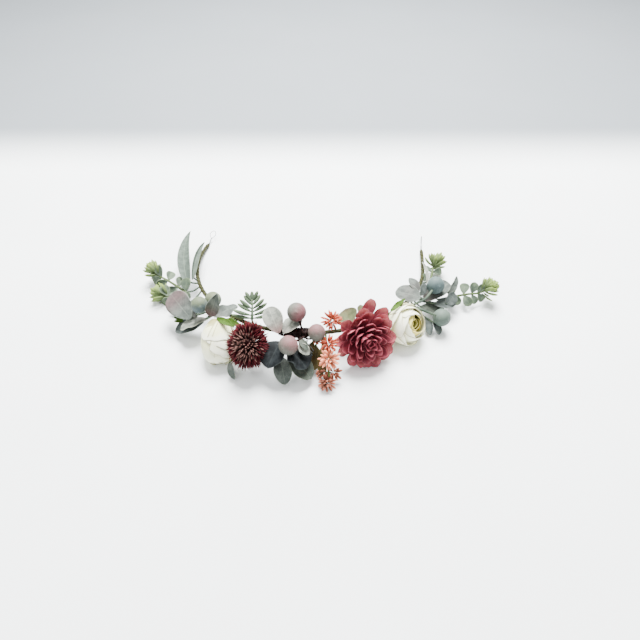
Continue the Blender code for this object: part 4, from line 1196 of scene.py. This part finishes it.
def tubePiece(name, lines, material, slot, stands=(), body="crown", sides=9, knots=0.0):
    piece = Stack()
    for points, radius in lines:
        line = smoothLine(points, max(16, int(len(points) * 9)))
        run = np.linspace(0.0, 1.0, len(line))
        size = radius * (1.0 + knots * np.sin(31.0 * run) * np.sin(13.0 * run + 1.0))
        ridge = 0.4 + 0.3 * np.sin(9.0 * run)
        piece.add(tubeGrid(line, size, sides), closed=True, ridge=ridge[None, :, None])
    return piece.build(name, body, material, slot, stands)


def makeStems():
    center, right = picks["center"], picks["rightLeaves"]
    for node, berry, material, hub in (
            ("center_berry_top_stem", "center_berry_top", brownStem, center[0]),
            ("center_berry_front_stem", "center_berry_front", brownStem, center[0]),
            ("right_berry_side_stem", "right_berry_side", sageStem, right[0])):
        spine = spineOf(node, hub)
        spine[-1] = middle(berry)
        name = camelName(node)
        tubePiece(name, [(spine, 0.00085)], material, nodeSlot(node), (node,), knots=0.15)
    lines = []
    for berry, places in (("right_berry_top",
                           [(8.1, -14.7, 7.9), (12.2, -15.3, 13.9), (14.9, -4.6, 11.9)]),
                          ("right_berry_side", [(9.9, -16.3, 7.9), (19.0, -18.5, 10.9)])):
        lines.append((np.concatenate([onPick(right, places), [middle(berry)]]), 0.0010))
    tubePiece("rightBerryStems", lines, sageStem, "green_stem", knots=0.1)
    side = onPick(center, [(3.0, 13.0, -2.0), (4.0, 18.0, -0.5)])
    line = np.concatenate([side, [middle("center_berry_right")]])
    tubePiece("centerBerryRightStem", [(line, 0.0008)],
              brownStem, "brown_stem", knots=0.15)


def makeTwistedStems():
    random = np.random.default_rng(77)
    lines = []
    for order in range(5):
        along = np.linspace(-24.0, 13.0 - 2.0 * order, 15)
        turn = 1.25 * order + along * 0.22
        places = bandPath(along * mm)
        out = np.stack([np.sin(along / 110.0), -np.cos(along / 110.0), 0.0 * along], -1)
        size = (2.9 + 0.5 * np.sin(0.3 * along + order))[:, None] * mm
        lines.append((places + out * size * np.cos(turn)[:, None]
                      + np.array([0.0, 0.0, 1.0]) * size * np.sin(turn)[:, None], 0.00095))
    tubePiece("twistedStems", lines, brownStem, "brown_stem", knots=0.2)
    center = picks["center"]
    wires = []
    for order in range(5):
        start = np.array([3.0, 9.0 + 1.5 * order, -1.0 - 0.6 * order])
        bow = np.array([7.5 + 1.2 * order, 14.0 + random.uniform(-1.0, 3.0), -4.0 - 0.9 * order])
        stop = np.array([12.0 + order, 21.0 + random.uniform(-2.0, 2.0), -6.0 - 1.8 * order])
        wires.append((onPick(center, [start, bow, stop]), 0.0004))
    tubePiece("thinWires", wires, steelWire, "wire", sides=7)


makeStems()
makeTwistedStems()


def makeCalyxes():
    for node in ("right_rose_calyx", "left_rose_calyx", "dahlia_calyx"):
        base = middle(node)
        low, high = boxOf(node)
        flower = {"right_rose_calyx": rightCentre, "left_rose_calyx": leftCentre,
                  "dahlia_calyx": middle("dahlia_inner_petals")}[node]
        axis = unit(flower - base)
        first, second = squareTo(axis, (0.0, 0.0, 1.0))
        size = float((high - low).max())
        cup = Stack()
        angles = np.arange(6) * np.pi / 3.0
        ways = np.outer(np.cos(angles), first) + np.outer(np.sin(angles), second)
        foot = np.repeat((base - axis * 0.3 * size)[None], 6, 0)
        cup.add(spikes(foot + ways * 0.0008, base + ways * 0.62 * size + axis * 0.25 * size,
                       ways - axis * 0.4, 0.4 * size, 0.0012, bow=-0.12, full=0.6, rows=11, sides=10),
                closed=True, tone=np.linspace(0.2, 0.8, 6), blush=0.2)
        cup.add(berryGrid(base - axis * 0.1 * size, axis, 0.26 * size, rows=17, columns=20, nub=0.0),
                closed=True, tone=0.5, blush=0.2)
        cup.build(camelName(node), "crown", greenLeaf, nodeSlot(node), (node,))


makeCalyxes()

# stalks: each leaf, flower head and sprig is wired to the nearest stretch of the band
stalkLooks = {
    "center": (brownStem, "brown_stem", ("center_berry_front",)),
    "coral": (greenStem, "green_stem", ("coral_flower_bottom", "coral_flower_lower")),
    "dahlia": (greenStem, "green_stem", ("dahlia_inner_petals", "dahlia_calyx")),
    "rightRose": (greenStem, "green_stem", ("right_rose_calyx",)),
    "rightLeaves": (sageStem, "green_stem", ()),
    "rightSprig": (sageStem, "green_stem", ()),
    "thistle": (greenStem, "green_stem", ("thistle_core",)),
    "leftRose": (greenStem, "green_stem", ("left_rose_calyx", "left_rose_heart")),
    "leftLeaves": (sageStem, "green_stem", ("left_berry_sage", "left_berry_blue")),
    "leftSprig": (sageStem, "green_stem", ()),
}
stalkShape = dict(radius=0.0008, reach=0.148, shift=0.35, sag=0.12)


def makeStalks():
    along = np.linspace(-stalkShape["reach"], stalkShape["reach"], 593)
    route = bandPath(along)
    for node, hub in (("left_sprig_back", "leftSprig"), ("left_sprig_front", "leftSprig"),
                      ("right_sprig_out", "rightSprig"), ("right_sprig_back", "rightSprig")):
        leafFeet.setdefault(hub, []).append(spineOf(node, picks[hub][0])[0])
    leafFeet.setdefault("thistle", []).append(onPick(picks["thistle"], sedumShape["foot"]))
    for hub, (material, slot, heads) in stalkLooks.items():
        lines = []
        for foot in leafFeet.get(hub, []) + [middle(node) for node in heads]:
            gap = np.linalg.norm(route - foot, axis=1)
            near = along[gap.argmin()]
            pick = np.arctan2(picks[hub][1][0], -picks[hub][1][1]) * bandShape["radius"]
            station = near + stalkShape["shift"] * np.clip(pick - near, -gap.min(), gap.min())
            place = bandPath(np.clip(station, -stalkShape["reach"], stalkShape["reach"]))[0]
            bend = 0.5 * (place + foot) - np.array([0.0, 0.0, stalkShape["sag"] * gap.min()])
            lines.append((np.array([place, bend, foot]), stalkShape["radius"]))
        tubePiece(hub + "Stalks", lines, material, slot, knots=0.1)


dahliaStem = spineOf("dahlia_stem", picks["dahlia"][0])
tubePiece("dahliaStem", [(dahliaStem, 0.0009)], greenStem, "green_stem", ("dahlia_stem",), knots=0.1)
coralStem = spineOf("coral_stem", picks["coral"][0])
tubePiece("coralStem", [(coralStem, 0.0009)], greenStem, "green_stem", ("coral_stem",), knots=0.1)
print("berries and stems are made")


# the coral spray: stars of slim petals

coralStars = {
    "coral_flower_top": (coralPetal, (-0.05, -0.55, 0.83), 9.0, 26, 51),
    "coral_flower_upper": (coralPetal, (0.10, -0.70, 0.70), 8.0, 24, 52),
    "coral_flower_lower": (coralPale, (0.05, -0.60, 0.78), 9.0, 28, 53),
    "coral_flower_bottom": (coralDusty, (-0.10, -0.75, 0.62), 8.0, 25, 54),
}


def starInto(piece, centre, axis, reach, count, seed, wide=2.0):
    random = np.random.default_rng(seed)
    ways, height = spreadDirections(axis, count, 1.75, seed=seed, jitter=0.08)
    length = reach * mm * (0.78 + 0.28 * np.sqrt(1.0 - height ** 2)) * random.normal(1.0, 0.06, count)
    back = centre - axis * 0.0015
    piece.add(spikes(back + ways * 0.0012, back + ways * length[:, None], axis, wide * mm, 1.0 * mm,
                     bow=0.05, widest=0.62, full=0.6, rows=9, sides=8, foot=0.3), closed=True,
              tone=random.uniform(0.0, 1.0, count))


def makeCorals():
    for node, (material, axis, reach, count, seed) in coralStars.items():
        piece = Stack()
        starInto(piece, middle(node), unit(axis), reach, count, seed)
        name = camelName(node)
        piece.build(name, "crown", material, nodeSlot(node), (node,))
    more = Stack()
    coral = picks["coral"]
    for place, reach, count, seed in (((30.5, 1.4, -15.0), 7.2, 15, 55),
                                      ((31, -9.4, -14.5), 4.2, 9, 56),
                                      ((8.0, -8.5, 1.5), 4.5, 8, 57)):
        starInto(more, onPick(coral, [place])[0], unit((0.0, -0.7, 0.7)), reach, count, seed, 2.2)
    more.build("coralBuds", "crown", coralDusty, "coral_flower")


makeCorals()


# sprigs: a stem along the CAD solid's spine, round leaves low down and a rosette at the end

sprigLooks = {
    "left_sprig_back": dict(hub="leftSprig", begin=0.40, end=0.74, leaves=46, reach=12.5,
                            rounds=[0.0, 0.1, 0.22, 0.34], size=9.5, seed=61),
    "left_sprig_front": dict(hub="leftSprig", begin=0.24, end=0.56, leaves=50, reach=13.5,
                             rounds=[0.0, 0.08, 0.16, 0.24], size=9.5, seed=62),
    "right_sprig_back": dict(hub="rightSprig", begin=0.38, end=0.66, leaves=46, reach=13.0,
                             rounds=[0.12, 0.28], size=7.5, seed=63),
    "right_sprig_out": dict(hub="rightSprig", begin=0.46, end=0.80, leaves=48, reach=13.0,
                            rounds=[0.10, 0.20, 0.30, 0.42], size=8.5, seed=64),
}


def makeSprig(node, look):
    random = np.random.default_rng(look["seed"])
    spine = smoothLine(spineOf(node, picks[look["hub"]][0]), 60)
    heading, side, other = alongLine(spine)
    name = camelName(node)
    stem = Stack()
    stem.add(tubeGrid(spine[:52], np.linspace(0.0012, 0.0007, 52), 9), closed=True, tone=0.3)
    count = look["leaves"]
    rank = np.sqrt((np.arange(count) + 0.5) / count)
    at = look["begin"] + (look["end"] - look["begin"]) * rank
    step = np.clip((at * 59).astype(int), 0, 59)
    angle = np.arange(count) * goldenAngle
    lean = np.radians(68.0 - 54.0 * rank ** 1.3) + random.normal(0.0, 0.07, count)
    around = np.cos(angle)[:, None] * side[step] + np.sin(angle)[:, None] * other[step]
    ways = np.cos(lean)[:, None] * heading[step] + np.sin(lean)[:, None] * around
    length = look["reach"] * mm * (1.05 - 0.4 * rank ** 2) * random.normal(1.0, 0.07, count)
    stem.add(spikes(spine[step], spine[step] + ways * length[:, None], heading[step], 3.5 * mm,
                    1.6 * mm, bow=-0.07, widest=0.62, full=0.55, rows=9, sides=8, foot=0.35),
             closed=True, tone=np.clip(0.2 + 0.7 * rank + random.normal(0.0, 0.12, count), 0.0, 1.0))
    stem.build(name, "crown", sprigLeaf, nodeSlot(node), (node,))
    rounds = Stack()
    for order, place in enumerate(look["rounds"]):
        station = int(place * 59)
        for turn in (0.0, np.pi):
            angle = turn + order * 1.3 + 0.4
            around = math.cos(angle) * side[station] + math.sin(angle) * other[station]
            around = 0.5 * around + math.cos(turn) * unit(np.cross(heading[station], seen))
            way = unit(around + random.uniform(0.3, 0.9) * heading[station])
            size = look["size"] * mm * random.uniform(0.85, 1.1)
            foot = spine[station] + way * 0.0008
            grid = leafGrid(foot, foot + way * size * 1.25, seen + random.normal(0.0, 0.25, 3), size,
                            widest=0.62, full=0.5, cup=0.25, arch=0.06, rows=15, columns=11)
            rounds.add(grid, tone=random.uniform(0.2, 0.8), blush=blushOf(grid, 1.0, 0.3))
    rounds.build(name + "Leaves", "crown", sprigRound, nodeSlot(node), wall=0.5 * mm)


for node, look in sprigLooks.items():
    makeSprig(node, look)


# the sedum sprig: an upright stem with plump leaves in pairs

sedumShape = dict(foot=(-2.0, -7.5, 4.0), tip=(-17.0, -14.3, 10.5), pairs=6, seed=71)


def makeSedum():
    random = np.random.default_rng(sedumShape["seed"])
    foot, tip = onPick(picks["thistle"], [sedumShape["foot"], sedumShape["tip"]])
    spine = smoothLine([foot, 0.5 * (foot + tip) + [0.0003, -0.0006, 0.0], tip], 40)
    heading = alongLine(spine)[0]
    across = unit(np.cross(heading, seen))
    piece = Stack()
    piece.add(tubeGrid(spine, np.linspace(0.0012, 0.0006, 40), 9), closed=True, tone=0.3)
    pairs = sedumShape["pairs"]
    bases, tips = [], []
    for order in range(pairs):
        rank = order / (pairs - 1)
        station = int((0.06 + 0.84 * rank) * 39)
        lean = math.radians(80.0 - 54.0 * rank)
        for sign in (-1.0, 1.0):
            way = math.cos(lean) * heading[station] + sign * math.sin(lean) * across[station]
            way = unit(way + random.normal(0.0, 0.05, 3) + 0.25 * (order % 2) * seen)
            bases.append(spine[station])
            tips.append(spine[station] + way * (0.0180 - 0.0075 * rank))
    bases.append(spine[38])
    tips.append(spine[38] + heading[38] * 0.0085)
    piece.add(spikes(bases, tips, [0.0, -0.4, 0.9], 3.4 * mm, 2.4 * mm, bow=-0.08, widest=0.6, full=0.5,
                     rows=11, sides=10, foot=0.35), closed=True,
              tone=random.uniform(0.1, 0.9, len(bases)))
    piece.build("sedumSprig", "crown", sedumLeaf, "sedum", ("sedum_sprig",))


makeSedum()


# the wound clump at the middle: windings round the band on a rounded square section,
# r = (|cos a / high|^6 + |sin a / deep|^6)^(-1/6)

def makeWrap():
    low, high = boxOf("center_wrap")
    centre, half = 0.5 * (low + high), 0.5 * (high - low)
    spine = np.linspace(-1.0, 1.0, 90)[:, None] * [half[0], 0.0, 0.0] + centre
    angle = np.linspace(0.0, 2.0 * np.pi, 40, endpoint=False)[None, :]
    size = ((np.abs(np.cos(angle)) / half[2]) ** 6 + (np.abs(np.sin(angle)) / half[1]) ** 6) ** (-1 / 6)
    winding = (spine[:, :1] / 0.0042 + angle / (2.0 * np.pi)) % 1.0
    ridge = winding * smooth(1.0 - winding, 0.0, 0.18)
    ends = smooth(half[0] - np.abs(spine[:, :1] - centre[0]), 0.0, 0.0015)
    piece = Stack()
    # ridge: painted shade at the foot of each winding's edge, a painted highlight on its raised lip
    piece.add(tubeGrid(spine, size * (0.75 + 0.25 * ends) - 0.0003 + 0.0003 * ridge, 40, upright=True),
              closed=True, ridge=0.1 + 0.5 * ridge[None])
    piece.build("centerWrap", "crown", brownStem, nodeSlot("center_wrap"), ("center_wrap",))


makeWrap()
makeStalks()
print("sprigs, wrap and stalks are made")


# the set: a flat pale table, painted dark towards the back as the shade of a backdrop turning up, soft light from
# above and behind

stageShape = dict(table=(0.80, 0.83, 0.83, 1.0), far=(0.19, 0.21, 0.225, 1.0), farFrom=0.22,
                  farTo=0.34, width=5.0)


def makeStage():
    low = cadBox[0][2]
    reach = np.linspace(-0.5, 0.5, 9) * stageShape["width"]
    grid = np.stack(np.broadcast_arrays(reach[None, :], reach[:, None], low), -1)
    quads = gridQuads(1, *grid.shape[:2], False)
    mesh = bpy.data.meshes.new("tableTop")
    mesh.from_pydata(grid.reshape(-1, 3), [], quads.tolist())
    material = bpy.data.materials.new("tableTop")
    material.use_nodes = True
    w = Wiring(material.node_tree)
    principled = material.node_tree.nodes["Principled BSDF"]
    place = w.node("ShaderNodeTexCoord").outputs["Object"]
    cloud = w.noise(place, 7.0, 2.0)
    back = w.node("ShaderNodeSeparateXYZ", {"Vector": place}).outputs["Y"]
    # painted shade: the table colour turns dark towards the back, standing in for the shaded backdrop
    far = w.ramp(back, stageShape["farFrom"], stageShape["farTo"])
    colour = w.mix(far, stageShape["table"], stageShape["far"])
    w.put(principled.inputs["Base Color"], w.shade(colour, w.swing(cloud, 0.05)))
    principled.inputs["Roughness"].default_value = 0.7
    principled.inputs["Specular IOR Level"].default_value = 0.2
    mesh.materials.append(material)
    table = bpy.data.objects.new("tableTop", mesh)
    bpy.context.scene.collection.objects.link(table)


lightShape = [
    # name, place, aim, size, watts
    ("overBack", (0.05, 0.58, 1.12), (0.0, 0.0, 0.0), 0.75, 130.0),
    ("overFront", (-0.5, -0.7, 1.4), (0.0, 0.0, 0.0), 1.6, 24.0),
]


def makeLights():
    for name, place, aim, size, watts in lightShape:
        lamp = bpy.data.lights.new(name, "AREA")
        lamp.shape = "DISK"
        lamp.size = size
        lamp.energy = watts
        item = bpy.data.objects.new(name, lamp)
        bpy.context.scene.collection.objects.link(item)
        item.location = place
        item.rotation_euler = (Vector(aim) - Vector(place)).to_track_quat("-Z", "Y").to_euler()
    world = bpy.data.worlds.new("studio")
    world.use_nodes = True
    world.node_tree.nodes["Background"].inputs["Color"].default_value = tint("EEF3F5")
    world.node_tree.nodes["Background"].inputs["Strength"].default_value = 0.9
    bpy.context.scene.world = world


cameraShape = dict(elevation=48.0, distance=0.430, aim=(0.0095, -0.092, 0.020), lens=28.4625)


def makeCamera():
    elevation = math.radians(cameraShape["elevation"])
    distance = cameraShape["distance"]
    aimX, aimY, aimZ = cameraShape["aim"]
    camera = bpy.data.objects.new("camera", bpy.data.cameras.new("camera"))
    camera.data.sensor_width = 36.0
    camera.data.lens = cameraShape["lens"]
    camera.data.clip_start = 0.01
    camera.location = (crownCentre[0] + aimX, crownCentre[1] + aimY - distance * math.cos(elevation),
                       aimZ + distance * math.sin(elevation))
    camera.rotation_euler = (0.5 * math.pi - elevation, 0.0, 0.0)
    bpy.context.scene.collection.objects.link(camera)
    bpy.context.scene.camera = camera


makeStage()
makeLights()
makeCamera()
